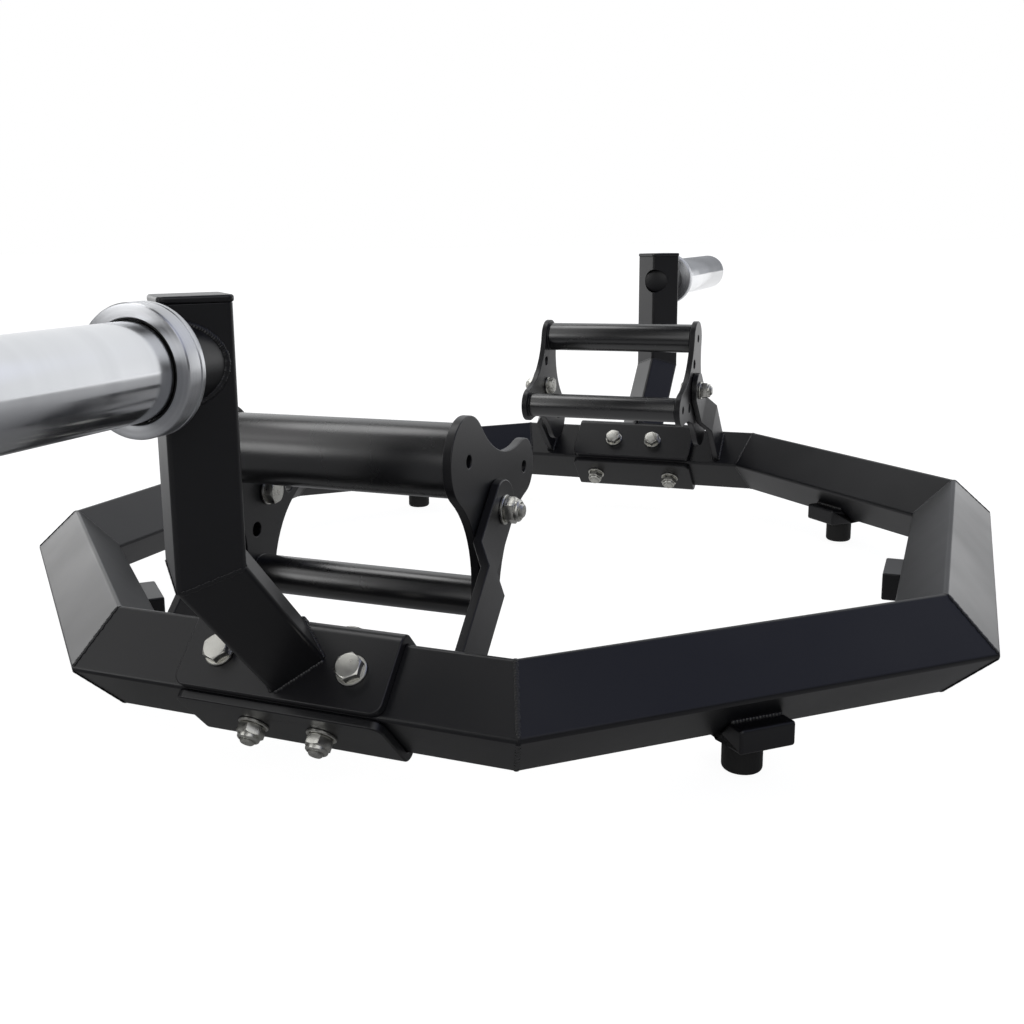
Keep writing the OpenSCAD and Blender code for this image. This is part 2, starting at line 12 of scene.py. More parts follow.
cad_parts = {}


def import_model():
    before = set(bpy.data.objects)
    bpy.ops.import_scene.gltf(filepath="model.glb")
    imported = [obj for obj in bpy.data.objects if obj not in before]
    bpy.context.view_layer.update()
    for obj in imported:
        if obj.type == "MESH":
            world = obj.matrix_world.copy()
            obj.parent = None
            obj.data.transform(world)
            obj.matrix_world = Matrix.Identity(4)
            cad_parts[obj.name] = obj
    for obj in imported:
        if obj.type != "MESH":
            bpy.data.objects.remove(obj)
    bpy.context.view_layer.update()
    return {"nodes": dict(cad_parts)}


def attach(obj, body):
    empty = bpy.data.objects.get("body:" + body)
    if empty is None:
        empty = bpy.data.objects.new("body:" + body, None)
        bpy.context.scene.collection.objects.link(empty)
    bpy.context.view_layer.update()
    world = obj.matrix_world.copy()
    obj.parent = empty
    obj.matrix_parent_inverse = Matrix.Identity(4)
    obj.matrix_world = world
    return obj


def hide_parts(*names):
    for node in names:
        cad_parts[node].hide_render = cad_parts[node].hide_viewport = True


log = logging.getLogger("trap_bar")

MM = 0.001
"""One millimetre in metres. Sizes below are in millimetres unless they say otherwise."""

Profile = Sequence[tuple[float, float]]


class End(Enum):
    """The two ends of the bar, each by the sign of its X."""

    NEAR = -1
    FAR = 1

    @property
    def word(self) -> str:
        """The word that ends this end's node names."""
        return self.name.lower()


class Hand(Enum):
    """The two sides of the bar, each by the sign of its Y."""

    RIGHT = -1
    LEFT = 1

    @property
    def word(self) -> str:
        """The word that ends this side's node names."""
        return self.name.lower()


class Slot(Enum):
    """The material slots."""

    COAT = "black_coat"
    STEEL = "bright_steel"
    ZINC = "zinc"
    RUBBER = "rubber"
    BRONZE = "bronze"
    PLUG = "plug"


@dataclass(frozen=True)
class Sizes:
    """Sizes that the looks share with the construction, in millimetres."""

    ring_end_x: float = 419
    ring_end_y: float = 143
    ring_side_x: float = 198
    ring_side_y: float = 369
    ring_z: float = 50.8 / math.sqrt(2) + 26
    tube_w: float = 50.8
    tube_corner: float = 3
    clamp_out: float = 31.4
    clamp_bend: float = 9
    clamp_wide: float = 47
    clamp_narrow: float = 24.5
    upright_x: float = 516.5
    upright_w: float = 38.1
    upright_bend_z: float = 104.5
    sleeve_z: float = 214.5
    pivot_x: float = 316.5
    pivot_z: float = 98
    plate_in_y: float = 85.5
    lobe_r: float = 59.5
    arm_in_y: float = 91.9
    arm_t: float = 6
    arm_w: float = 38.5
    arm_joggle: float = 10
    block_l: float = 40.5
    block_top: float = -22.42

    @property
    def corners(self) -> list[Vector]:
        """Corners of the ring's centre line in plan, from the near left one round by the right."""
        ex, ey, sx, sy = self.ring_end_x, self.ring_end_y, self.ring_side_x, self.ring_side_y
        plan = [(-ex, ey), (-ex, -ey), (-sx, -sy), (sx, -sy), (ex, -ey), (ex, ey), (sx, sy), (-sx, sy)]
        return [Vector((x, y, self.ring_z)) for x, y in plan]


SIZES = Sizes()


def place(origin: Sequence[float], x_axis: Sequence[float], z_axis: Sequence[float]) -> Matrix:
    """Makes the matrix that puts a piece at a place.

    Args:
        origin: Where the piece's own origin goes, in millimetres.
        x_axis: Where its +X points; only the part of it square to z_axis counts.
        z_axis: Where its +Z points.

    Returns:
        A matrix in metres, without scale.
    """
    z = Vector(z_axis).normalized()
    x = Vector(x_axis)
    x = (x - z * x.dot(z)).normalized()
    turn = Matrix((x, z.cross(x), z)).transposed().to_4x4()
    return Matrix.Translation(Vector(origin) * MM) @ turn


class Bench:
    """Shapes meshes with Blender's own tools.

    Attributes:
        SAME_POINT: How close two corners of a construction piece are to be one, in millimetres.
        SAME_RING: How close two corners of a turned piece are to be one, in millimetres.
        SAME_FACE: How little two faces lean to be one, in degrees.
        EDGE: How far two faces lean for the edge between them to be eased, in degrees.
        EASED_SMOOTH: Up to what lean an eased piece is shaded smoothly, in degrees.
        TURNED_SMOOTH: The same for a turned piece.
    """

    SAME_POINT = 0.005
    SAME_RING = 0.002
    SAME_FACE = 0.5
    EDGE = 35
    EASED_SMOOTH = 38
    TURNED_SMOOTH = 32

    @staticmethod
    def clear() -> None:
        """Leaves edit mode and deselects everything."""
        if bpy.context.object is not None and bpy.context.object.mode != "OBJECT":
            bpy.ops.object.mode_set(mode="OBJECT")
        bpy.ops.object.select_all(action="DESELECT")

    @staticmethod
    def pick(piece: bpy.types.Object) -> None:
        """Selects one piece alone and makes it active."""
        Bench.clear()
        piece.select_set(True)
        bpy.context.view_layer.objects.active = piece

    @staticmethod
    def settle(piece: bpy.types.Object, matrix: Matrix) -> bpy.types.Object:
        """Moves a piece and puts its place in its mesh.

        Args:
            piece: The piece, with its object at the origin.
            matrix: Where it goes.

        Returns:
            The same piece.
        """
        Bench.pick(piece)
        piece.matrix_world = matrix
        bpy.ops.object.transform_apply(location=True, rotation=True, scale=True)
        return piece

    @staticmethod
    def copy(piece: bpy.types.Object, name: str) -> bpy.types.Object:
        """Copies a piece with its own mesh.

        Args:
            piece: The piece to copy.
            name: The copy's name.

        Returns:
            The copy.
        """
        twin = bpy.data.objects.new(name, piece.data.copy())
        bpy.context.scene.collection.objects.link(twin)
        return twin

    @staticmethod
    def join(pieces: Sequence[bpy.types.Object], name: str) -> bpy.types.Object:
        """Joins pieces into one.

        Args:
            pieces: The pieces, of which the first one is kept.
            name: The name of the result.

        Returns:
            The joined piece.
        """
        Bench.clear()
        for piece in pieces:
            piece.select_set(True)
        bpy.context.view_layer.objects.active = pieces[0]
        bpy.ops.object.join()
        bpy.ops.object.transform_apply(location=True, rotation=True, scale=True)
        pieces[0].name = name
        pieces[0].data.name = name
        return pieces[0]

    @staticmethod
    def apply(piece: bpy.types.Object, kind: str, **settings: object) -> None:
        """Adds a modifier to a piece and applies it.

        Args:
            piece: The piece.
            kind: The modifier's type.
            **settings: Its settings.
        """
        Bench.pick(piece)
        modifier = piece.modifiers.new(kind.lower(), kind)
        for key, value in settings.items():
            setattr(modifier, key, value)
        bpy.ops.object.modifier_apply(modifier=modifier.name)

    @staticmethod
    def smooth(piece: bpy.types.Object, degrees: float) -> None:
        """Smooths a piece's shading where its faces meet at less than an angle."""
        Bench.pick(piece)
        bpy.ops.object.shade_smooth_by_angle(angle=math.radians(degrees))

    @staticmethod
    def turned(name: str, profile: Profile, segments: int = 96, ring: bool = False) -> bpy.types.Object:
        """Turns a profile about +Z by extruding a circle step by step.

        Args:
            name: The piece's name.
            profile: Its outline as radius and height, in millimetres.
            segments: How many sides it has.
            ring: Whether the last point joins the first one, as on a piece with a bore.

        Returns:
            The turned piece.
        """
        Bench.clear()
        points = [*profile, profile[0]] if ring else list(profile)
        radius, height = points[0]
        bpy.ops.mesh.primitive_circle_add(
            vertices=segments, radius=radius * MM, location=(0, 0, height * MM))
        piece = bpy.context.object
        piece.name = name
        bpy.ops.object.transform_apply(location=True, rotation=True, scale=True)
        bpy.ops.object.mode_set(mode="EDIT")
        bpy.ops.mesh.select_all(action="SELECT")
        for (r0, z0), (r1, z1) in zip(points, points[1:]):
            bpy.ops.mesh.extrude_edges_move(TRANSFORM_OT_translate={"value": (0, 0, (z1 - z0) * MM)})
            if r1 != r0:
                bpy.ops.transform.resize(value=(r1 / r0, r1 / r0, 1), center_override=(0, 0, z1 * MM))
        bpy.ops.mesh.select_all(action="SELECT")
        if ring:
            bpy.ops.mesh.remove_doubles(threshold=Bench.SAME_RING * MM)
        else:
            bpy.ops.mesh.fill_holes(sides=0)
            bpy.ops.mesh.select_all(action="SELECT")
        bpy.ops.mesh.normals_make_consistent(inside=False)
        bpy.ops.object.mode_set(mode="OBJECT")
        Bench.smooth(piece, Bench.TURNED_SMOOTH)
        return piece

    @staticmethod
    def eased(node: bpy.types.Object, name: str, width: float, steps: int = 3) -> bpy.types.Object:
        """Copies a construction piece and rounds its sharp edges.

        Args:
            node: The construction piece.
            name: The copy's name.
            width: How far the rounding reaches from each edge, in millimetres.
            steps: How many faces the rounding has.

        Returns:
            The rounded copy.
        """
        piece = Bench.copy(node, name)
        Bench.pick(piece)
        bpy.ops.object.mode_set(mode="EDIT")
        bpy.ops.mesh.select_all(action="SELECT")
        bpy.ops.mesh.remove_doubles(threshold=Bench.SAME_POINT * MM)
        bpy.ops.mesh.dissolve_limited(angle_limit=math.radians(Bench.SAME_FACE))
        bpy.ops.object.mode_set(mode="OBJECT")
        Bench.apply(piece, "BEVEL", width=width * MM, segments=steps, limit_method="ANGLE",
                    angle_limit=math.radians(Bench.EDGE), use_clamp_overlap=False)
        Bench.smooth(piece, Bench.EASED_SMOOTH)
        Bench.apply(piece, "WEIGHTED_NORMAL", keep_sharp=True)
        return piece


def add_node(tree: bpy.types.NodeTree, kind: str, inputs: dict[int | str, object],
             **settings: object) -> bpy.types.Node:
    """Adds a shader node, sets it and fills its inputs.

    Args:
        tree: The node tree to add to.
        kind: The node's type, without the word ShaderNode before it.
        inputs: What goes in its inputs, each a socket to link or a plain value.
        **settings: The node's own settings.

    Returns:
        The node.
    """
    node = tree.nodes.new(f"ShaderNode{kind}")
    for key, value in settings.items():
        setattr(node, key, value)
    for key, value in inputs.items():
        if isinstance(value, bpy.types.NodeSocket):
            tree.links.new(value, node.inputs[key])
        else:
            node.inputs[key].default_value = value
    return node


def object_place(tree: bpy.types.NodeTree) -> bpy.types.NodeSocket:
    """Gives the socket of a point's place in its object."""
    return add_node(tree, "TexCoord", {}).outputs["Object"]


class Texture:
    """Shader node groups that more than one finish uses, each with a fine and a slow noise."""

    @staticmethod
    def _start(name: str, inputs: Sequence[tuple[str, float]]) -> bpy.types.NodeTree:
        """Makes an empty group with number sockets and its two end nodes.

        Args:
            name: The group's name.
            inputs: Its inputs' names and defaults.

        Returns:
            The group, with the outputs Fine and Slow.
        """
        group = bpy.data.node_groups.new(name, "ShaderNodeTree")
        for word, value in inputs:
            socket = group.interface.new_socket(word, in_out="INPUT", socket_type="NodeSocketFloat")
            socket.default_value = value
        for word in ("Fine", "Slow"):
            group.interface.new_socket(word, in_out="OUTPUT", socket_type="NodeSocketFloat")
        group.nodes.new("NodeGroupInput")
        group.nodes.new("NodeGroupOutput")
        return group

    @staticmethod
    def _noises(group: bpy.types.NodeTree, where: bpy.types.NodeSocket, fine: float, slow: float) -> None:
        """Adds the two noises that read a place, and puts them out.

        Args:
            group: The group to add to.
            where: The socket that gives the place.
            fine: How many octaves the fine noise has.
            slow: How many octaves the slow noise has.
        """
        source, sink = group.nodes["Group Input"], group.nodes["Group Output"]
        for word, detail in (("Fine", fine), ("Slow", slow)):
            inputs = {"Detail": detail, "Vector": where, "Scale": source.outputs[f"{word} Scale"]}
            noise = add_node(group, "TexNoise", inputs)
            group.links.new(noise.outputs["Fac"], sink.inputs[word])

    @staticmethod
    def surface() -> bpy.types.NodeTree:
        """Grain and slow cloudiness over a surface.

        Returns:
            The group, whose outputs are between 0 and 1.
        """
        name = "grain_and_cloud"
        if name in bpy.data.node_groups:
            return bpy.data.node_groups[name]
        group = Texture._start(name, [("Fine Scale", 900.0), ("Slow Scale", 12.0)])
        Texture._noises(group, object_place(group), 2.0, 4.0)
        return group

    @staticmethod
    def tooling() -> bpy.types.NodeTree:
        """Fine rings that a lathe leaves on faces and round cylinders about the sleeves' axis.

        Returns:
            The group, whose outputs, the lines and the wider bands, are between 0 and 1.
        """
        name = "lathe_lines"
        if name in bpy.data.node_groups:
            return bpy.data.node_groups[name]
        group = Texture._start(name, [("Axis Height", 0.285), ("Fine Scale", 1800.0), ("Slow Scale", 90.0)])
        axis = group.nodes["Group Input"].outputs["Axis Height"]
        spot = add_node(group, "SeparateXYZ", {0: object_place(group)})
        height = add_node(group, "Math", {0: spot.outputs["Z"], 1: axis}, operation="SUBTRACT")
        across = add_node(group, "CombineXYZ", {"Y": spot.outputs["Y"], "Z": height.outputs[0]})
        radius = add_node(group, "VectorMath", {0: across.outputs[0]}, operation="LENGTH")
        flat = add_node(group, "CombineXYZ", {"X": spot.outputs["X"], "Y": radius.outputs["Value"]})
        Texture._noises(group, flat.outputs[0], 3.0, 2.0)
        return group


@dataclass(frozen=True)
class Finish:
    """A finish whose colour, roughness and relief vary with one mask each.

    Attributes:
        name: The material's name.
        slot: The material slot that it stands for. It is not used.
        dark: The colour where the cloud mask is 0.
        light: The colour where the cloud mask is 1.
        smooth: The roughness where the mask is 0.
        rough: The roughness where the mask is 1.
        metal: How metallic it is.
        relief: The depth of its grain, in millimetres.
        grain: The scale of its grain.
        cloud: The scale of its cloudiness.
        lathe: Whether its texture is a lathe's lines in place of grain.
        streak: How far a lathe's lines stretch its highlights.
        ior: Its index of refraction, which says how much it mirrors.
        cloud_range: Between which values of its mask the roughness changes.
        relief_strength: How much of its relief the shading takes up.
    """

    name: str
    slot: Slot
    dark: tuple[float, float, float]
    light: tuple[float, float, float]
    smooth: float
    rough: float
    metal: float = 0.0
    relief: float = 0.05
    grain: float = 900.0
    cloud: float = 12.0
    lathe: bool = False
    streak: float = 0.0
    ior: float = 1.5
    cloud_range: tuple[float, float] = (0.3, 0.7)
    relief_strength: float = 0.5

    @property
    def axis_height(self) -> float:
        """The height of the sleeves' axis, in metres."""
        return (SIZES.ring_z + SIZES.sleeve_z) * MM

    def across_marks(self, tree: bpy.types.NodeTree) -> bpy.types.NodeSocket:
        """Gives the way over a surface that is square to the lathe's marks round the sleeves' axis.

        Args:
            tree: The material's node tree.

        Returns:
            The direction's socket.
        """
        spot = add_node(tree, "SeparateXYZ", {0: object_place(tree)})
        fall = add_node(tree, "Math", {0: self.axis_height, 1: spot.outputs["Z"]}, operation="SUBTRACT")
        round_axis = add_node(tree, "CombineXYZ", {"Y": fall.outputs[0], "Z": spot.outputs["Y"]})
        normal = add_node(tree, "NewGeometry", {}).outputs["Normal"]
        square = add_node(tree, "VectorMath", {0: normal, 1: round_axis.outputs[0]},
                          operation="CROSS_PRODUCT")
        return square.outputs[0]

    def material(self) -> bpy.types.Material:
        """Builds the material once and returns it.

        Returns:
            The material.
        """
        if self.name in bpy.data.materials:
            return bpy.data.materials[self.name]
        material = bpy.data.materials.new(self.name)
        material.use_nodes = True
        tree = material.node_tree
        shader = tree.nodes["Principled BSDF"]
        shader.inputs["Metallic"].default_value = self.metal
        shader.inputs["IOR"].default_value = self.ior
        texture = tree.nodes.new("ShaderNodeGroup")
        texture.node_tree = Texture.tooling() if self.lathe else Texture.surface()
        texture.inputs["Fine Scale"].default_value = self.grain
        texture.inputs["Slow Scale"].default_value = self.cloud
        if self.lathe:
            texture.inputs["Axis Height"].default_value = self.axis_height
            shader.inputs["Anisotropic"].default_value = self.streak
            tree.links.new(self.across_marks(tree), shader.inputs["Tangent"])
        slow = texture.outputs["Slow"]
        colour = add_node(tree, "Mix", {"A": (*self.dark, 1), "B": (*self.light, 1), "Factor": slow},
                          data_type="RGBA")
        low, high = self.cloud_range
        sheen = add_node(tree, "MapRange", {"From Min": low, "From Max": high, "To Min": self.smooth,
                                            "To Max": self.rough, "Value": slow})
        bump = add_node(tree, "Bump", {"Strength": self.relief_strength, "Distance": self.relief * MM,
                                       "Height": texture.outputs["Fine"]})
        tree.links.new(colour.outputs["Result"], shader.inputs["Base Color"])
        tree.links.new(sheen.outputs["Result"], shader.inputs["Roughness"])
        tree.links.new(bump.outputs["Normal"], shader.inputs["Normal"])
        return material

    def dress(self, piece: bpy.types.Object) -> None:
        """Gives a piece this finish, in place of any other."""
        if not piece.material_slots:
            piece.data.materials.append(self.material())
        for held in piece.material_slots:
            held.material = self.material()


COAT = Finish("satin_powder_coat", Slot.COAT, (0.0045, 0.0045, 0.0058), (0.0085, 0.0085, 0.0105), 0.3, 0.38,
              relief=0.05, grain=700, cloud=9)
WELD_COAT = Finish("coated_weld", Slot.COAT, (0.005, 0.005, 0.006), (0.012, 0.012, 0.014), 0.24, 0.36,
                   relief=0.12, grain=1500, cloud=60)
GRIP_COAT = Finish("grip_coat", Slot.COAT, (0.0045, 0.0045, 0.0055), (0.009, 0.009, 0.01), 0.22, 0.3,
                   relief=0.08, grain=1400, cloud=20, ior=1.9)
POLISHED = Finish("polished_steel", Slot.STEEL, (0.6, 0.61, 0.63), (0.78, 0.79, 0.81), 0.1, 0.18,
                  metal=1, relief=0.012, grain=2200, cloud=70, lathe=True, streak=0.5)
MACHINED = Finish("machined_steel", Slot.STEEL, (0.55, 0.56, 0.58), (0.76, 0.77, 0.79), 0.26, 0.36,
                  metal=1, relief=0.03, grain=2600, cloud=500, lathe=True, streak=0.85)
ZINC_PLATE = Finish("zinc_plate", Slot.ZINC, (0.5, 0.49, 0.45), (0.76, 0.76, 0.72), 0.24, 0.4,
                    metal=1, relief=0.08, grain=1600, cloud=220)
RUBBER = Finish("black_rubber", Slot.RUBBER, (0.004, 0.004, 0.004), (0.009, 0.009, 0.009), 0.6, 0.75,
                relief=0.08, grain=1800, cloud=40)
BRONZE = Finish("sintered_bronze", Slot.BRONZE, (0.36, 0.2, 0.08), (0.55, 0.36, 0.17), 0.35, 0.5,
                metal=1, relief=0.05, grain=2000, cloud=90)
PLUG = Finish("plug_plastic", Slot.PLUG, (0.012, 0.012, 0.012), (0.024, 0.024, 0.024), 0.45, 0.58,
              relief=0.05, grain=1500, cloud=30)


@dataclass
class Workshop:
    """What the sub-assemblies share: the construction's nodes and a tally of new pieces.

    Attributes:
        nodes: The construction's pieces by name.
        made: The names of the pieces made so far.
    """

    nodes: dict[str, bpy.types.Object]
    made: list[str] = field(default_factory=list)

    def hand_over(self, piece: bpy.types.Object, finish: Finish, body: str, *replaced: str) -> None:
        """Finishes a piece, fixes it to a body and hides the construction pieces that it stands for.

        Args:
            piece: The piece, with its place in its mesh.
            finish: Its finish.
            body: The body that it moves with.
            *replaced: The construction pieces that it stands for.
        """
        finish.dress(piece)
        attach(piece, body)
        if replaced:
            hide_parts(*replaced)
        self.made.append(piece.name)
        log.info("made %s on %s", piece.name, body)

    def ease(self, node: str, width: float, body: str = "frame", finish: Finish = COAT,
             steps: int = 3) -> None:
        """Puts a copy with rounded edges in a construction piece's place.

        Args:
            node: The construction piece's name.
            width: How far the rounding reaches, in millimetres.
            body: The body that it moves with.
            finish: Its finish.
            steps: How many faces the rounding has.
        """
        piece = Bench.eased(self.nodes[node], f"{node}_eased", width, steps)
        self.hand_over(piece, finish, body, node)


@dataclass
class Welds:
    """Rippled weld beads, each made of overlapping scales.

    Attributes:
        shop: The shared workshop.
        pitch: The distance from scale to scale.
        half_width: Half the width of a bead.
        height: How far a bead stands out.
        scale_reach: A scale's half length, as a share of the pitch.
        wander: How far a bead sways to its sides, slowly and fast.
        wander_step: How fast it does, in radians from scale to scale.
        swell: By what share the scales differ in size.
        swell_step: How fast they do, in radians from scale to scale.
        shade_angle: Up to what lean a bead is shaded smoothly, in degrees.
    """

    shop: Workshop
    pitch: float = 2.4
    half_width: float = 2.4
    height: float = 1.0
    scale_reach: float = 0.95
    wander: tuple[float, float] = (0.22, 0.12)
    wander_step: tuple[float, float] = (2.3, 5.1)
    swell: float = 0.08
    swell_step: float = 1.7
    shade_angle: float = 60

    def scale(self) -> bpy.types.Object:
        """Models one scale of a bead, flattened and leaning along the bead.

        Returns:
            The scale, about the origin, with the bead along +X and its surface along +Z.
        """
        Bench.clear()
        bpy.ops.mesh.primitive_uv_sphere_add(segments=12, ring_count=6, radius=1)
        piece = bpy.context.object
        piece.name = "weld_scale"
        bpy.ops.object.mode_set(mode="EDIT")
        bpy.ops.mesh.select_all(action="SELECT")
        bpy.ops.transform.resize(
            value=(self.pitch * self.scale_reach * MM, self.half_width * MM, self.height * MM))
        bpy.ops.object.mode_set(mode="OBJECT")
        Bench.smooth(piece, self.shade_angle)
        return piece

    def run(self, start: Vector, end: Vector, normal: Vector) -> Iterator[Matrix]:
        """Gives the places of the scales along a straight seam.

        Args:
            start: Where the seam begins, in millimetres.
            end: Where it ends.
            normal: Which way the bead stands out.

        Yields:
            The place of each scale.
        """
        way = end - start
        count = max(2, round(way.length / self.pitch))
        for i in range(count):
            slow, fast = (reach * math.sin(step * i) for reach, step in zip(self.wander, self.wander_step))
            side = normal.cross(way).normalized() * (slow + fast)
            yield place(start + way * (i + 0.5) / count + side, way, normal)

    def lay(self, name: str, places: Sequence[Matrix], body: str = "frame") -> None:
        """Lays one scale at each place and joins them into a piece.

        Args:
            name: The piece's name.
            places: Where the scales go.
            body: The body that the piece moves with.
        """
        model = self.scale()
        scales = []
        for i, where in enumerate(places):
            twin = Bench.copy(model, f"{name}_{i}")
            swell = 1 + self.swell * math.sin(self.swell_step * i)
            twin.matrix_world = where @ Matrix.Scale(swell, 4)
            scales.append(twin)
        bpy.data.objects.remove(model)
        self.shop.hand_over(Bench.join(scales, name), WELD_COAT, body)


@dataclass
class Ring:
    """The eight-sided ring with its feet, blocks and lugs.

    Attributes:
        shop: The shared workshop.
        foot_d: Diameter of a rubber foot.
        foot_h: Height of a rubber foot.
        foot_round: Rounding of its lower edge.
        foot_rim: Chamfer of its upper edge, under the block.
        screw_r: Radius of the screw's hole through it.
        seat_r: Radius of the sunk seat of the screw's head.
        seat_h: How deep that seat is.
        seat_lip: Chamfer of its mouth.
        mitre_gap: How far a mitre's bead ends short of the tube's rounding.
        ridge_sink: How deep a mitre's bead lies on the upper and lower ridges.
        side_sink: How deep it lies on the two side ridges.
        ridge_reach: Half the length of the bead over a ridge.
        block_seam: How far a block's bead stands off the tube's middle plane.
        block_lean: How far it leans up.
        block_gap: How far it ends short of the block's end.
    """

    shop: Workshop
    foot_d: float = 26
    foot_h: float = 23
    foot_round: float = 3.2
    foot_rim: float = 0.4
    screw_r: float = 3.1
    seat_r: float = 5.4
    seat_h: float = 10
    seat_lip: float = 0.5
    mitre_gap: float = 0.2
    ridge_sink: float = 1.5
    side_sink: float = 2.5
    ridge_reach: float = 0.8
    block_seam: float = 0.6
    block_lean: float = 0.6
    block_gap: float = 2

    def build(self) -> None:
        """Builds everything on the ring."""
        for node in self.shop.nodes:
            if node.startswith("tube_"):
                COAT.dress(self.shop.nodes[node])
            elif node.startswith("foot_block_"):
                self.shop.ease(node, 2.2, steps=4)
        self.shop.ease("inner_lugs", 1.5)
        self.rubber_feet()
        self.mitre_welds()
        self.block_welds()

    def sides(self, picks: Sequence[int]) -> Iterator[tuple[Vector, Vector, Vector]]:
        """Gives the frames of some of the ring's sides.

        Args:
            picks: The numbers of the sides.

        Yields:
            The middle of the side, the way along it and the way inwards.
        """
        corners = SIZES.corners
        for i in picks:
            a, b = corners[i], corners[(i + 1) % 8]
            along = (b - a).normalized()
            yield (a + b) / 2, along, Vector((0, 0, 1)).cross(along)

    def rubber_feet(self) -> None:
        """Turns the four rubber feet, with rounded lower edges and sunk screw seats."""
        r, round_r = self.foot_d / 2, self.foot_round
        bend = [(r - round_r * (1 - math.cos(a)), round_r * (1 - math.sin(a)))
                for a in (math.radians(15 * k) for k in range(7))]
        top, rim, lip = self.foot_h, self.foot_rim, self.seat_lip
        profile = [(self.screw_r, top), (r - rim, top), (r, top - rim), *bend, (self.seat_r + lip, 0),
                   (self.seat_r, lip), (self.seat_r, self.seat_h), (self.screw_r, self.seat_h)]
        model = Bench.turned("rubber_foot", profile, 72, ring=True)
        feet = []
        for i, (middle, along, _) in enumerate(self.sides((1, 3, 5, 7))):
            foot = Bench.copy(model, f"rubber_foot_{i}")
            feet.append(Bench.settle(foot, place((middle.x, middle.y, 0), along, (0, 0, 1))))
        bpy.data.objects.remove(model)
        feet_piece = Bench.join(feet, "rubber_feet_turned")
        self.shop.hand_over(feet_piece, RUBBER, "frame", "rubber_feet")

    def mitre_welds(self) -> None:
        """Lays a bead round the tube at each of the ring's eight mitres."""
        half = SIZES.tube_w / math.sqrt(2)
        corners = SIZES.corners
        welds = Welds(self.shop, pitch=1.7, half_width=1.65, height=0.5)
        for i, corner in enumerate(corners):
            before = (corner - corners[i - 1]).normalized()
            after = (corners[(i + 1) % 8] - corner).normalized()
            out = (before - after).normalized()
            reach = half / math.cos(before.angle(after) / 2)
            up = Vector((0, 0, 1))
            tips = [corner + up * half, corner + out * reach, corner - up * half, corner - out * reach]
            places = []
            for a, b in zip(tips, tips[1:] + tips[:1]):
                trim = (b - a).normalized() * (SIZES.tube_corner + self.mitre_gap)
                places += welds.run(a + trim, b - trim, (a + b) / 2 - corner)
            for tip, side, sunk in zip(tips, (out, up) * 2, (self.ridge_sink, self.side_sink) * 2):
                radial = (tip - corner).normalized()
                spot = tip - radial * sunk
                places += welds.run(spot - side * self.ridge_reach, spot + side * self.ridge_reach, radial)
            welds.lay(f"mitre_weld_{i}", places)

    def block_welds(self) -> None:
        """Lays beads where the foot blocks and lugs meet the tube's faces."""
        welds = Welds(self.shop, half_width=2.8, height=1.7)
        half_diag = SIZES.tube_w / math.sqrt(2)
        places = []
        for middle, along, inward in self.sides((1, 3, 5, 7)):
            top = SIZES.block_top
            for hand in (-1, 1):
                reach = half_diag + top + self.block_seam
                seam = middle + inward * hand * reach + Vector((0, 0, top + self.block_seam))
                normal = inward * hand + Vector((0, 0, self.block_lean))
                span = along * (SIZES.block_l / 2 - self.block_gap)
                places += welds.run(seam - span, seam + span, normal)
        welds.lay("foot_block_welds", places)


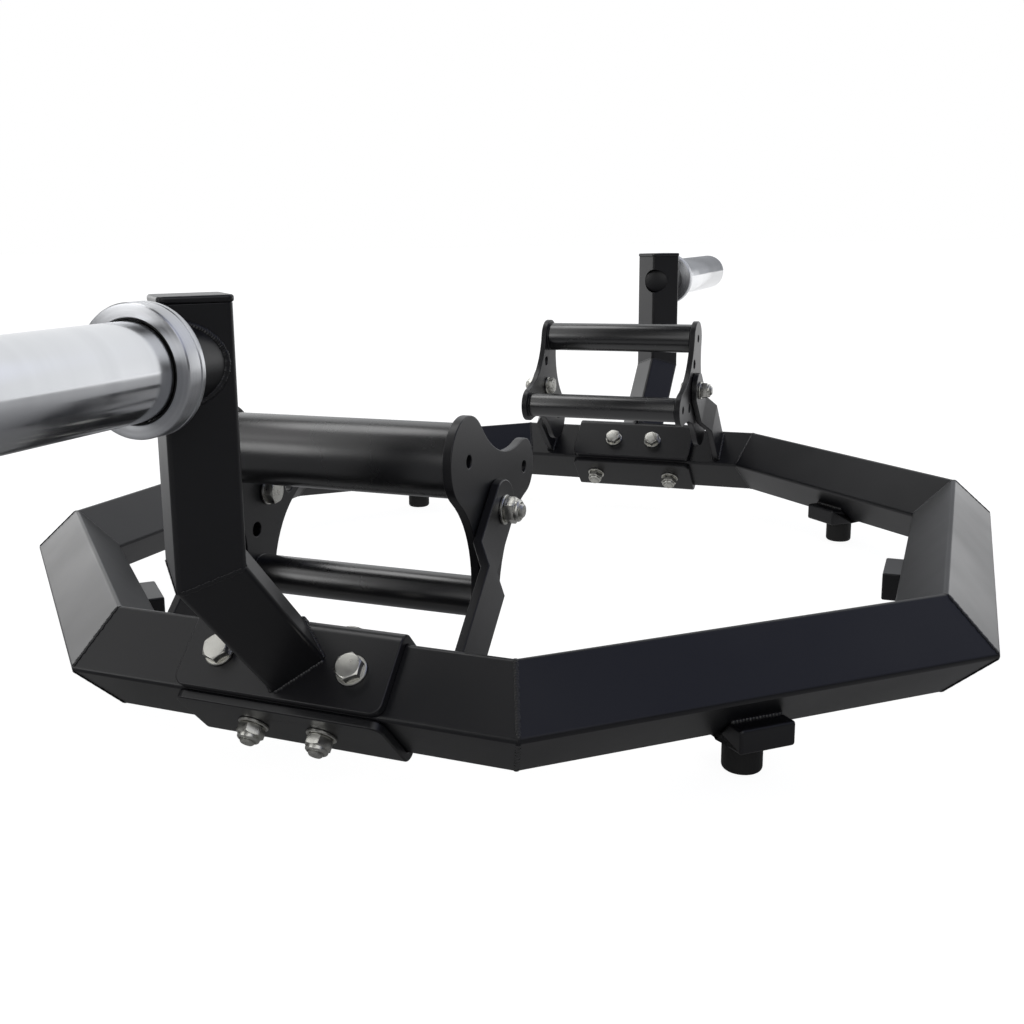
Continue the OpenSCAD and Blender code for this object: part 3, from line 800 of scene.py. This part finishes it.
@dataclass
class Fasteners:
    """Bolts, washers and lock nuts, modelled once and placed in groups.

    Attributes:
        shop: The shared workshop.
        across: Width of the hexagons across their flats.
        head_h: Height of a bolt's head.
        nut_hex_h: Height of a nut's hexagon.
        nut_h: Height of a nut with its locking ring.
        bolt_r: Radius of a bolt.
        washer_r: Outside radius of a washer.
        washer_t: Thickness of a washer.
        proud: How far a bolt stands out of its nut.
        plate_gap: The gap between a handle plate and the washer under the pivot bolt's head.
        cone: The lean of the cone that turns off the hexagons' corners, in degrees.
        cone_top: Its radius at a hexagon's top, as a share of the hexagon's.
        cone_play: How far it reaches past the hexagon's corners.
        hex_ease: How far a hexagon's edges are rounded.
        hex_smooth: Up to what lean a hexagon is shaded smoothly, in degrees.
        face_share: The radius under a head, as a share of the hexagon's.
        face_h: The height of that round face.
        nut_round: The rounding of a nut's locking ring.
        insert_lip: The width of its insert.
        insert_h: How deep the insert lies.
        thread_pitch: The distance from thread to thread.
        thread_depth: How deep the threads are.
        threads: How many of them show.
        spin: How far each bolt is turned from the one before, in degrees.
    """

    shop: Workshop
    across: float = 16
    head_h: float = 6.4
    nut_hex_h: float = 7
    nut_h: float = 10
    bolt_r: float = 5
    washer_r: float = 10
    washer_t: float = 2
    proud: float = 2
    plate_gap: float = 0.4
    cone: float = 30
    cone_top: float = 0.95
    cone_play: float = 0.3
    hex_ease: float = 0.18
    hex_smooth: float = 20
    face_share: float = 0.96
    face_h: float = 0.5
    nut_round: float = 1.9
    insert_lip: float = 1.1
    insert_h: float = 0.8
    thread_pitch: float = 1.25
    thread_depth: float = 0.55
    threads: int = 4
    spin: float = 37

    @property
    def head_y(self) -> float:
        """How far from the bar's middle plane a pivot bolt's head meets its washer."""
        return SIZES.plate_in_y - self.plate_gap - self.washer_t

    def build(self) -> None:
        """Builds all the bolts, washers and nuts."""
        clamp = list(self.clamp_places())
        pivot = list(self.pivot_places())
        clamp_grip = 2 * (SIZES.clamp_out + self.washer_t)
        pivot_grip = SIZES.arm_in_y + SIZES.arm_t + self.washer_t - self.head_y
        head, nut, washer = self.head(), self.nut(), self.washer()
        for word, places, grip in (("clamp", clamp, clamp_grip), ("pivot", pivot, pivot_grip)):
            self.group(f"{word}_bolts", head, places, 0)
            self.group(f"{word}_nuts", nut, places, -grip, flip=True)
            self.group(f"{word}_washers", washer, places, -self.washer_t)
            self.group(f"{word}_washers", washer, places, -grip, extra=True)
        for model in (head, nut, washer):
            bpy.data.objects.remove(model)

    def clamp_places(self) -> Iterator[Matrix]:
        """Gives the places under the clamp bolts' heads, with +Z towards the head.

        Yields:
            The place of each bolt.
        """
        stand = SIZES.clamp_out + self.washer_t
        for end in End:
            s = end.value
            centre = Vector((s * SIZES.ring_end_x, 0, SIZES.ring_z))
            outer = Vector((s, 0, 1)).normalized()
            inner = Vector((-s, 0, 1)).normalized()
            for sign in (-1, 1):
                for axis, reach in ((outer, SIZES.clamp_wide), (inner, SIZES.clamp_narrow)):
                    yield place(centre + Vector((0, sign * reach, 0)) + axis * stand, (0, 1, 0), axis)

    def pivot_places(self) -> Iterator[Matrix]:
        """Gives the places under the pivot bolts' heads, which face the middle of the handle.

        Yields:
            The place of each bolt.
        """
        height = SIZES.ring_z + SIZES.pivot_z
        for end in End:
            for hand in Hand:
                yield place((end.value * SIZES.pivot_x, hand.value * self.head_y, height),
                            (1, 0, 0), (0, -hand.value, 0))

    def hexagon(self, height: float, both: bool) -> bpy.types.Object:
        """Models a hexagon whose corners are turned off by a cone.

        Args:
            height: Its height.
            both: Whether its lower corners are turned off too.

        Returns:
            The hexagon, standing on the origin.
        """
        corner = self.across / math.sqrt(3)
        Bench.clear()
        bpy.ops.mesh.primitive_cylinder_add(
            vertices=6, radius=corner * MM, depth=height * MM, location=(0, 0, height / 2 * MM))
        block = bpy.context.object
        bpy.ops.object.transform_apply(location=True, rotation=True, scale=True)
        top_r, wide = self.across / 2 * self.cone_top, corner + self.cone_play
        drop = (wide - top_r) * math.tan(math.radians(self.cone))
        under = -0.001
        foot = [(top_r, under), (wide, drop)] if both else [(wide, under)]
        cutter = Bench.turned("chamfer_cone", [*foot, (wide, height - drop), (top_r, height)])
        Bench.apply(block, "BOOLEAN", operation="INTERSECT", solver="EXACT", object=cutter)
        bpy.data.objects.remove(cutter)
        Bench.apply(block, "BEVEL", width=self.hex_ease * MM, segments=2, limit_method="ANGLE",
                    angle_limit=math.radians(25), use_clamp_overlap=True)
        Bench.smooth(block, self.hex_smooth)
        return block

    def head(self) -> bpy.types.Object:
        """Models a bolt's head with its washer face, seen from outside.

        Returns:
            The head, standing on the origin.
        """
        r = self.across / 2 * self.face_share
        face = Bench.turned("washer_face", [(r, 0), (r, self.face_h)], 64)
        return Bench.join([self.hexagon(self.head_h, both=False), face], "bolt_head")

    def nut(self) -> bpy.types.Object:
        """Models a lock nut with its domed ring, its insert and the bolt's end in it.

        Returns:
            The nut, standing on the origin.
        """
        rim, edge = self.across / 2 - 0.5, self.nut_round
        h, hex_h, bolt = self.nut_h, self.nut_hex_h, self.bolt_r
        bend = [(rim - edge * (1 - math.cos(a)), h - edge * (1 - math.sin(a)))
                for a in (math.radians(15 * k) for k in range(7))]
        lip, bore, seat, sunk = bolt + self.insert_lip, bolt + 0.1, h - self.insert_h, hex_h - 0.6
        dome = Bench.turned("nut_dome", [(rim, sunk), *bend, (lip, h), (lip, seat), (bore, seat),
                                         (bore, sunk)], 64, ring=True)
        tip = h + self.proud
        last, thread = self.threads - 1, []
        for k in range(self.threads):
            root = tip - 0.9 - self.thread_pitch * (last - k)
            thread += [(bolt, root - 0.6), (bolt - self.thread_depth, root)]
        end = Bench.turned("bolt_end", [(bolt - 0.2, 0.2), *thread, (bolt - 0.3, tip - 0.8),
                                        (bolt - 1.1, tip)], 48)
        return Bench.join([self.hexagon(hex_h, both=True), dome, end], "lock_nut")

    def washer(self) -> bpy.types.Object:
        """Models a washer with softened edges.

        Returns:
            The washer, standing on the origin.
        """
        r, t, bore = self.washer_r, self.washer_t, self.bolt_r + 0.1
        return Bench.turned("washer", [(bore, 0.1), (bore + 0.2, 0), (r - 0.5, 0), (r, 0.5), (r, t - 0.5),
                                       (r - 0.5, t), (bore + 0.2, t), (bore, t - 0.1)], 64, ring=True)

    def group(self, node: str, model: bpy.types.Object, places: Sequence[Matrix], shift: float,
              flip: bool = False, extra: bool = False) -> None:
        """Copies a model to each place, each a little turned, and joins the copies.

        Args:
            node: The construction piece that the group stands for.
            model: The model.
            places: Where the bolts' heads are.
            shift: How far each copy is moved along its +Z, in millimetres.
            flip: Whether it is turned over.
            extra: Whether the group is the rest of a piece that another group stands for.
        """
        name = f"{node}_nut_side" if extra else f"{node}_detailed"
        over = Matrix.Rotation(math.pi, 4, "X") if flip else Matrix.Identity(4)
        twins = []
        for i, where in enumerate(places):
            spin = Matrix.Rotation(math.radians(self.spin * i), 4, "Z")
            twin = Bench.copy(model, f"{name}_{i}")
            twins.append(Bench.settle(twin, where @ Matrix.Translation((0, 0, shift * MM)) @ over @ spin))
        self.shop.hand_over(Bench.join(twins, name), ZINC_PLATE, "frame", *([] if extra else [node]))


@dataclass
class Upright:
    """One end's clamp and upright, with their welds.

    Attributes:
        shop: The shared workshop.
        end: Which end it is at.
        layer: Thickness of each layer of a built-up bead.
        boss_weld_r: Radius of the bead round the shaft's boss.
        boss_steps: How many scales that bead has.
        boss_flat: How far the bead's path is kept off the upright's outer ridge.
        boss_off: How far the bead stands off the upright.
        foot_trim: What share of a seam stays free at each of the foot's corners.
        foot_lean: How far the foot's bead leans outwards.
        boss_lean: How far the boss's bead leans outwards.
    """

    shop: Workshop
    end: End
    layer: float = 1.0
    boss_weld_r: float = 23.5
    boss_steps: int = 120
    boss_flat: float = 1.4
    boss_off: float = 0.2
    foot_trim: float = 0.05
    foot_lean: float = 0.8
    boss_lean: float = 0.8

    def build(self) -> None:
        """Builds the clamp angles, the upright, its cap and the welds."""
        word = self.end.word
        for node in ("clamp_top", "clamp_bottom"):
            self.shop.ease(f"{node}_{word}", 1.2)
        for node in ("upright_foot", "upright"):
            self.shop.ease(f"{node}_{word}", 0.5)
        self.shop.ease(f"upright_cap_{word}", 1.5, steps=4)
        self.shop.ease(f"shaft_boss_{word}", 0.6)
        self.foot_weld()
        self.bend_weld()
        self.boss_weld()

    def foot_weld(self) -> None:
        """Lays a bead round the upright's foot, built up where the clamp's bend falls away from it."""
        s = self.end.value
        outer = Vector((s, 0, 1)).normalized()
        up_face = Vector((-s, 0, 1)).normalized()
        along = Vector((0, s, 0))
        ring = Vector((s * SIZES.ring_end_x, 0, SIZES.ring_z))
        shift = (SIZES.upright_bend_z - (SIZES.upright_x - SIZES.ring_end_x)) / math.sqrt(2)
        centre = ring + outer * SIZES.clamp_out + up_face * shift
        half = SIZES.upright_w / math.sqrt(2)
        tips = [along * half, up_face * half, along * -half, up_face * -half]
        welds = Welds(self.shop, pitch=1.8, half_width=1.8, height=1.1)
        places = []
        for a, b in zip(tips, tips[1:] + tips[:1]):
            trim = (b - a) * self.foot_trim
            facing = outer + (a + b).normalized() * self.foot_lean
            for where in welds.run(centre + a + trim, centre + b - trim, facing):
                reach = (where.translation / MM - ring).dot(up_face)
                beyond = max(0.0, reach - SIZES.clamp_out + SIZES.clamp_bend)
                drop = SIZES.clamp_bend - math.sqrt(SIZES.clamp_bend ** 2 - beyond ** 2)
                for k in range(math.ceil(drop / self.layer) + 1):
                    places.append(Matrix.Translation(outer * -k * self.layer * MM) @ where)
        welds.lay(f"upright_foot_weld_{self.end.word}", places)

    def bend_weld(self) -> None:
        """Lays a bead round the mitre at the upright's bend."""
        s = self.end.value
        bend = Vector((s * SIZES.upright_x, 0, SIZES.ring_z + SIZES.upright_bend_z))
        half = SIZES.upright_w / math.sqrt(2)
        out = Vector((s, 0, math.tan(math.radians(-22.5)))) * half
        side = Vector((0, half, 0))
        tips = [out, side, -out, -side]
        welds = Welds(self.shop, pitch=1.8, half_width=1.5, height=0.4)
        places = []
        for a, b in zip(tips, tips[1:] + tips[:1]):
            trim = (b - a).normalized() * SIZES.tube_corner
            places += welds.run(bend + a + trim, bend + b - trim, a + b)
        welds.lay(f"upright_bend_weld_{self.end.word}", places)

    def boss_weld(self) -> None:
        """Lays a smooth bead where the boss meets the upright's two outer faces."""
        s = self.end.value
        apex = SIZES.upright_w / math.sqrt(2)
        axis = Vector((s * SIZES.upright_x, 0, SIZES.ring_z + SIZES.sleeve_z))
        path = []
        for k in range(self.boss_steps + 1):
            a = 2 * math.pi * k / self.boss_steps
            y, z = self.boss_weld_r * math.sin(a), self.boss_weld_r * math.cos(a)
            path.append(axis + Vector((s * (apex - max(abs(y), self.boss_flat) + self.boss_off), y, z)))
        welds = Welds(self.shop, pitch=1.9, half_width=2.1, height=1.0)
        places = []
        for a, b in zip(path, path[1:]):
            middle = (a + b) / 2
            off = middle - axis
            out = Vector((self.boss_lean * s, off.y / self.boss_weld_r, off.z / self.boss_weld_r))
            places.append(place(middle, b - a, out))
        welds.lay(f"boss_weld_{self.end.word}", places)


@dataclass
class Sleeve:
    """One end's collar, seal, sleeve and the parts inside.

    Attributes:
        shop: The shared workshop.
        end: Which end it is at.
        sleeve_r: Outside radius of the sleeve.
        bore_r: Radius of its bore.
        seat_x: Where the sleeve begins in the collar, from the middle of the bar.
        face_x: Where the collar's outer face is.
        back_x: Where the collar's back is.
        end_x: Where the sleeve ends.
        collar_r: Outside radius of the collar.
        shaft_r: Radius of the shaft.
        shaft_x: Where the shaft's inner end is.
        bare_x: Where the shaft's coat ends, inside the upright.
        groove_x: Where the snap ring's groove begins.
        tip_x: Where the shaft ends.
        groove_w: Width of the snap ring's groove.
        groove_depth: Its depth.
        play: The gap between the shaft and the collar, and between the plug and the bore.
        seal_gap: The gap between the sleeve and the seal.
        seal_w: Width of the seal's section.
        step: How much smaller the sleeve's radius is inside the collar.
        rim: The collar's rounded rim, as how far in from its side and its face.
        groove: The collar's groove, as how deep and how far from its back.
    """

    shop: Workshop
    end: End
    sleeve_r: float = 25
    bore_r: float = 18.5
    seat_x: float = 560.5
    face_x: float = 567.5
    back_x: float = 553
    end_x: float = 836.5
    collar_r: float = 33.75
    shaft_r: float = 14.5
    shaft_x: float = 503.06
    bare_x: float = 535
    groove_x: float = 818.5
    tip_x: float = 824.5
    groove_w: float = 1.6
    groove_depth: float = 1.5
    play: float = 0.05
    seal_gap: float = 0.4
    seal_w: float = 1.0
    step: float = 0.5
    rim: Profile = ((1.4, 0), (0.6, 0.2), (0.15, 0.7), (0, 1.3))
    groove: Profile = ((0, 3.4), (0.25, 3.6), (1, 3.8), (1, 4.4), (0.25, 4.6), (0, 4.8))

    def build(self) -> None:
        """Builds the turned parts and finishes those that stay hidden."""
        BRONZE.dress(self.shop.nodes[f"bushings_{self.end.word}"])
        self.shaft()
        self.collar()
        self.seal()
        self.sleeve()
        self.plug()

    @property
    def axis(self) -> Matrix:
        """The place on the sleeve's axis at the middle of the bar, with +Z outwards."""
        return place((0, 0, SIZES.ring_z + SIZES.sleeve_z), (0, 0, 1), (self.end.value, 0, 0))

    def turn(self, part: str, profile: Profile, finish: Finish, segments: int = 96, ring: bool = False,
             ending: str = "turned") -> None:
        """Turns a part on the sleeve's axis, in the place of the construction's part.

        Args:
            part: The part's name.
            profile: Its outline as radius and distance from the middle of the bar.
            finish: Its finish.
            segments: How many sides it has.
            ring: Whether it has a bore.
            ending: The last words of its name, which differ where it is only an extra.
        """
        word = self.end.word
        node = f"{part}_{word}"
        piece = Bench.settle(Bench.turned(f"{node}_{ending}", profile, segments, ring), self.axis)
        body = f"sleeve_{word}" if part in ("sleeve", "end_cap") else "frame"
        self.shop.hand_over(piece, finish, body, *([node] if ending == "turned" else []))

    def shaft(self) -> None:
        """Turns the shaft, bright in the sleeve and coated where it shows inside the upright."""
        r, start, groove, end = self.shaft_r, self.shaft_x, self.groove_x, self.tip_x
        self.turn("shaft", [(r, self.bare_x), (r, groove), (r - self.groove_depth, groove),
                            (r - self.groove_depth, groove + self.groove_w), (r, groove + self.groove_w),
                            (r, end - 1.2), (r - 1.2, end)], POLISHED)
        coated = [(r - 1.2, start), (r - 0.35, start + 0.35), (r, start + 1.2), (r, self.bare_x)]
        self.turn("shaft", coated, COAT, ending="coated_end")

    def collar(self) -> None:
        """Turns the collar with its rounded rim, its groove and the seat of the sleeve."""
        r, back, face = self.collar_r, self.back_x, self.face_x
        seat, floor = self.sleeve_r + 1.45, self.seat_x - 0.4
        inner = self.shaft_r + self.play
        profile = [
            (inner, back), *((r - depth, back + x) for depth, x in (*self.rim, *self.groove)),
            *((r - depth, face - x) for depth, x in reversed(self.rim)),
            (seat + 0.3, face), (seat, face - 0.3), (seat, floor), (inner, floor),
        ]
        self.turn("collar", profile, MACHINED, 160, ring=True)

    def seal(self) -> None:
        """Turns the thin dark ring between the collar and the sleeve."""
        inner = self.sleeve_r + self.seal_gap
        outer = self.sleeve_r + self.seal_gap + self.seal_w
        start, end = self.seat_x - 0.3, self.face_x - 0.4
        self.turn("dust_seal", [(inner, start), (outer, start), (outer, end - 0.2), (outer - 0.25, end),
                                (inner + 0.25, end), (inner, end - 0.2)], RUBBER, 128, ring=True)

    def sleeve(self) -> None:
        """Turns the plate sleeve with its bore."""
        r, end, seat, small = self.sleeve_r, self.end_x, self.seat_x, self.sleeve_r - self.step
        self.turn("sleeve", [
            (self.bore_r, seat), (r - 0.9, seat), (small, seat + 0.4), (small, self.face_x),
            (r, self.face_x), (r, end - 1.5), (r - 0.25, end - 0.6), (r - 1.2, end), (self.bore_r, end),
        ], POLISHED, 160, ring=True)

    def plug(self) -> None:
        """Turns the plug in the sleeve's outer end, with a shallow dish."""
        r, end, dish = self.bore_r - self.play, self.end_x, self.end_x - 0.9
        self.turn("end_cap", [(r, end - 8), (r, end - 0.6), (r - 0.6, end), (r - 3, end), (r - 3.8, dish),
                              (2, dish)], PLUG)


@dataclass
class Handle:
    """One end's turning handle and the arms that carry it.

    Attributes:
        shop: The shared workshop.
        end: Which end it is at.
        grips: Each grip's name, its lobe's angle from inwards towards up, and its diameter.
        wall: Wall of a grip tube.
        grip_end: A grip's turned down end, as how deep and how far in from the plate.
        bead_off: How far a bead lies off the faces that it joins.
    """

    shop: Workshop
    end: End
    grips: Sequence[tuple[str, float, float]]
    wall: float = 3
    grip_end: Profile = ((0.9, 0), (0.9, 1.2), (0.2, 1.6), (0, 2.4))
    bead_off: float = 0.4

    def build(self) -> None:
        """Builds the plates, grips, arms and their welds."""
        word = self.end.word
        for hand in Hand:
            self.shop.ease(f"handle_plate_{word}_{hand.word}", 0.7, f"handle_{word}")
            self.shop.ease(f"arm_{word}_{hand.word}", 0.9)
        for name, angle, diameter in self.grips:
            self.grip(name, angle, diameter)
        self.arm_welds()

    def grip(self, name: str, angle: float, diameter: float) -> None:
        """Turns a grip tube and the fillet welds at its two ends.

        Args:
            name: The grip's name.
            angle: Its lobe's angle in degrees.
            diameter: Its outside diameter.
        """
        word, s = self.end.word, self.end.value
        r, half = diameter / 2, SIZES.plate_in_y
        x = s * (SIZES.pivot_x - SIZES.lobe_r * math.cos(math.radians(angle)))
        z = SIZES.ring_z + SIZES.pivot_z + SIZES.lobe_r * math.sin(math.radians(angle))
        where = place((x, 0, z), (1, 0, 0), (0, 1, 0))
        bore = r - self.wall
        profile = [(bore, -half), *((r - depth, -half + y) for depth, y in self.grip_end),
                   *((r - depth, half - y) for depth, y in reversed(self.grip_end)), (bore, half)]
        tube = Bench.turned(f"{name}_{word}_turned", profile, ring=True)
        Bench.settle(tube, where)
        self.shop.hand_over(tube, GRIP_COAT, f"handle_{word}", f"{name}_{word}")
        welds = Welds(self.shop, half_width=0.9, height=0.7)
        places = []
        count = round(2 * math.pi * r / welds.pitch)
        for side in (-1, 1):
            for k in range(count):
                a = 2 * math.pi * k / count
                out = Vector((math.cos(a), 0, math.sin(a)))
                way = Vector((-math.sin(a), 0, math.cos(a)))
                spot = Vector((x, side * (half - self.bead_off), z)) + out * (r - 0.5)
                places.append(place(spot, way, out - Vector((0, side, 0))))
        welds.lay(f"{name}_{word}_welds", places, f"handle_{word}")

    def arm_welds(self) -> None:
        """Lays beads along both faces of each arm's foot on the end tube."""
        s = self.end.value
        face = Vector((-s, 0, 1)).normalized()
        down = Vector((-s, 0, -1)).normalized()
        centre = Vector((s * SIZES.ring_end_x, 0, SIZES.ring_z)) + face * SIZES.tube_w / 2
        welds = Welds(self.shop, half_width=2.4, height=1.6)
        places = []
        for hand in Hand:
            inner = SIZES.arm_in_y + SIZES.arm_joggle
            for y, lean in ((inner - self.bead_off, -1), (inner + SIZES.arm_t + self.bead_off, 1)):
                seam = centre + Vector((0, hand.value * y, 0)) + face * self.bead_off
                span = down * (SIZES.arm_w / 2 - 1)
                places += welds.run(seam - span, seam + span, face + Vector((0, hand.value * lean, 0)))
        welds.lay(f"arm_welds_{self.end.word}", places)


@dataclass(frozen=True)
class Camera:
    """The photograph's viewpoint, fitted to the ring's corners.

    Attributes:
        place_mm: Where it stands, in millimetres, with z from the ring's centre line.
        yaw: How far it looks from +X towards +Y, in radians.
        pitch: How far it looks down, in radians.
        roll: How far it is turned about its own axis, in radians.
        focal_px: Its focal length in pixels of a 1024 px wide frame.
        centre_px: Where its axis meets the frame, in the same pixels.
    """

    place_mm: tuple[float, float, float] = (-1029.2, -368.2, 276.05)
    yaw: float = 0.4251
    pitch: float = 0.1985
    roll: float = 0.0203
    focal_px: float = 1177.2
    centre_px: tuple[float, float] = (431.7, 473.9)

    def build(self) -> None:
        """Makes the camera and sets it as the scene's."""
        frame_px = 1024.0
        data = bpy.data.cameras.new("photo_camera")
        data.lens = self.focal_px * data.sensor_width / frame_px
        data.shift_x = (frame_px / 2 - self.centre_px[0]) / frame_px
        data.shift_y = (self.centre_px[1] - frame_px / 2) / frame_px
        data.clip_start = 0.01
        camera = bpy.data.objects.new("photo_camera", data)
        bpy.context.scene.collection.objects.link(camera)
        ahead = Vector((math.cos(self.yaw) * math.cos(self.pitch),
                        math.sin(self.yaw) * math.cos(self.pitch), -math.sin(self.pitch)))
        level = Vector((math.sin(self.yaw), -math.cos(self.yaw), 0))
        below = ahead.cross(level)
        across = math.cos(self.roll) * level + math.sin(self.roll) * below
        x, y, z = self.place_mm
        camera.matrix_world = place((x, y, z + SIZES.ring_z), across, -ahead)
        bpy.context.scene.camera = camera


@dataclass(frozen=True)
class Glow:
    """A soft patch of the surround, round one direction.

    Attributes:
        aim: The direction of its middle.
        outer: The cosine at which it begins.
        inner: The cosine at which it is full.
        tint: What it adds to the surround, as red, green and blue.
    """

    aim: tuple[float, float, float]
    outer: float
    inner: float
    tint: tuple[float, float, float]


GLOWS = (
    Glow((1, 0, 0), 0.42, 0.62, (0.92, 0.93, 0.94)),
    Glow((1, 0, 0), 0.8, 0.97, (-0.62, -0.62, -0.61)),
    Glow((0.93, -0.36, 0.03), 0.972, 0.99, (1.1, 1.1, 1.1)),
    Glow((0.42, 0.9, 0.1), 0.93, 0.98, (1.35, 1.35, 1.35)),
    Glow((0.15, 0.42, 0.9), 0.955, 0.985, (2.6, 2.6, 2.6)),
    Glow((-0.32, 0.62, 0.72), 0.92, 0.985, (0.8, 0.8, 0.8)),
    Glow((-0.65, 0.62, 0.45), 0.93, 0.985, (0.7, 0.7, 0.7)),
    Glow((-0.75, 0.63, 0.2), 0.97, 0.988, (1.9, 1.9, 1.9)),
    Glow((0.1, -0.62, 0.77), 0.75, 0.95, (0.16, 0.18, 0.3)),
    Glow((-0.66, -0.45, 0.6), 0.84, 0.96, (1.0, 1.0, 1.0)),
    Glow((-0.95, -0.1, 0.2), 0.93, 0.985, (0.7, 0.7, 0.7)),
)


@dataclass(frozen=True)
class Studio:
    """A white floor and a surround that is white to the eye and mostly dim as a light.

    Attributes:
        floor_size: The floor's width, in metres.
        floor_seen: How bright the floor is to the eye, before the light that falls on it.
        floor_grey: How much of the light that falls on it the floor gives back.
        slant: How far the floor's far ramp follows Y beside X.
        near_ramp: The floor as a light along X: from where, to where, and how bright at each.
        far_ramp: What the far floor adds, in the same four numbers, along the slant.
        base: How bright the surround is away from its glows.
    """

    floor_size: float = 60
    floor_seen: float = 0.93
    floor_grey: float = 0.25
    slant: float = 0.6
    near_ramp: tuple[float, float, float, float] = (-0.7, 0.5, 0.04, 0.26)
    far_ramp: tuple[float, float, float, float] = (0.0, 2.5, 0.0, 0.75)
    base: float = 0.07

    def build(self) -> None:
        """Makes the floor and the surround."""
        self.floor()
        self.world()
        bpy.context.scene.view_settings.view_transform = "Standard"

    @staticmethod
    def ramp(tree: bpy.types.NodeTree, value: bpy.types.NodeSocket, start: float, end: float,
             low: float, high: float) -> bpy.types.NodeSocket:
        """Makes a soft step from one brightness to another.

        Args:
            tree: The node tree to add to.
            value: What the step follows.
            start: Where it begins.
            end: Where it ends.
            low: The brightness before it.
            high: The brightness after it.

        Returns:
            The brightness's socket.
        """
        inputs = {"From Min": start, "From Max": end, "To Min": low, "To Max": high, "Value": value}
        step = add_node(tree, "MapRange", inputs, interpolation_type="SMOOTHSTEP")
        return step.outputs["Result"]

    @staticmethod
    def to_the_eye(tree: bpy.types.NodeTree, light: bpy.types.NodeSocket, seen: object,
                   kind: str) -> bpy.types.NodeSocket:
        """Gives one brightness to the eye and another one as a light.

        Args:
            tree: The node tree to add to.
            light: The brightness as a light.
            seen: The brightness to the eye.
            kind: FLOAT for a number, RGBA for a colour.

        Returns:
            The brightness's socket.
        """
        eye = add_node(tree, "LightPath", {}).outputs["Is Camera Ray"]
        return add_node(tree, "Mix", {"A": light, "B": seen, "Factor": eye}, data_type=kind).outputs["Result"]

    def floor(self) -> None:
        """Makes the floor, white to the eye, and as a light brighter behind and far from the object."""
        Bench.clear()
        bpy.ops.mesh.primitive_plane_add(size=self.floor_size)
        floor = bpy.context.object
        floor.name = "floor"
        material = bpy.data.materials.new("pale_floor")
        material.use_nodes = True
        tree = material.node_tree
        shader = tree.nodes["Principled BSDF"]
        grey = (self.floor_grey,) * 3
        for word, value in (("Base Color", (*grey, 1)), ("Roughness", 1.0), ("Specular IOR Level", 0.0),
                            ("Emission Color", (1, 1, 1, 1))):
            shader.inputs[word].default_value = value
        spot = add_node(tree, "SeparateXYZ", {0: object_place(tree)})
        x, y = spot.outputs["X"], spot.outputs["Y"]
        slanted = add_node(tree, "Math", {0: y, 1: self.slant, 2: x}, operation="MULTIPLY_ADD")
        near = self.ramp(tree, x, *self.near_ramp)
        far = self.ramp(tree, slanted.outputs[0], *self.far_ramp)
        both = add_node(tree, "Math", {0: near, 1: far})
        shown = self.to_the_eye(tree, both.outputs[0], self.floor_seen, "FLOAT")
        tree.links.new(shown, shader.inputs["Emission Strength"])
        floor.data.materials.append(material)

    def world(self) -> None:
        """Makes the surround: dim, with soft glows where the photograph's reflections show light."""
        world = bpy.data.worlds.new("pale_surround")
        world.use_nodes = True
        tree = world.node_tree
        way = add_node(tree, "TexCoord", {}).outputs["Generated"]
        total: object = (self.base,) * 3
        for glow in GLOWS:
            aim = Vector(glow.aim).normalized()
            near = add_node(tree, "VectorMath", {0: way, 1: aim}, operation="DOT_PRODUCT")
            fade = self.ramp(tree, near.outputs["Value"], glow.outer, glow.inner, 0, 1)
            lit = add_node(tree, "VectorMath", {0: glow.tint, "Scale": fade}, operation="SCALE")
            total = add_node(tree, "VectorMath", {0: lit.outputs[0], 1: total}, operation="ADD").outputs[0]
        shown = self.to_the_eye(tree, total, (1, 1, 1, 1), "RGBA")
        tree.links.new(shown, tree.nodes["Background"].inputs["Color"])
        bpy.context.scene.world = world


NEAR_GRIPS = (("fat_grip", 138, 48), ("thin_grip", 258, 27))
FAR_GRIPS = (("medium_grip", 105, 32.5), ("thin_grip", 345, 27))


def main() -> None:
    """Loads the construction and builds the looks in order."""
    logging.basicConfig(level=logging.INFO, format="%(message)s")
    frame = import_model()
    Camera().build()
    Studio().build()
    shop = Workshop(frame["nodes"])
    Ring(shop).build()
    for end in End:
        Upright(shop, end).build()
        Sleeve(shop, end).build()
    Handle(shop, End.NEAR, NEAR_GRIPS).build()
    Handle(shop, End.FAR, FAR_GRIPS).build()
    Fasteners(shop).build()
    ZINC_PLATE.dress(shop.nodes["foot_screws"])
    POLISHED.dress(shop.nodes["snap_rings"])
    Bench.clear()
    log.info("made %d pieces", len(shop.made))


if __name__ == "__main__":
    main()
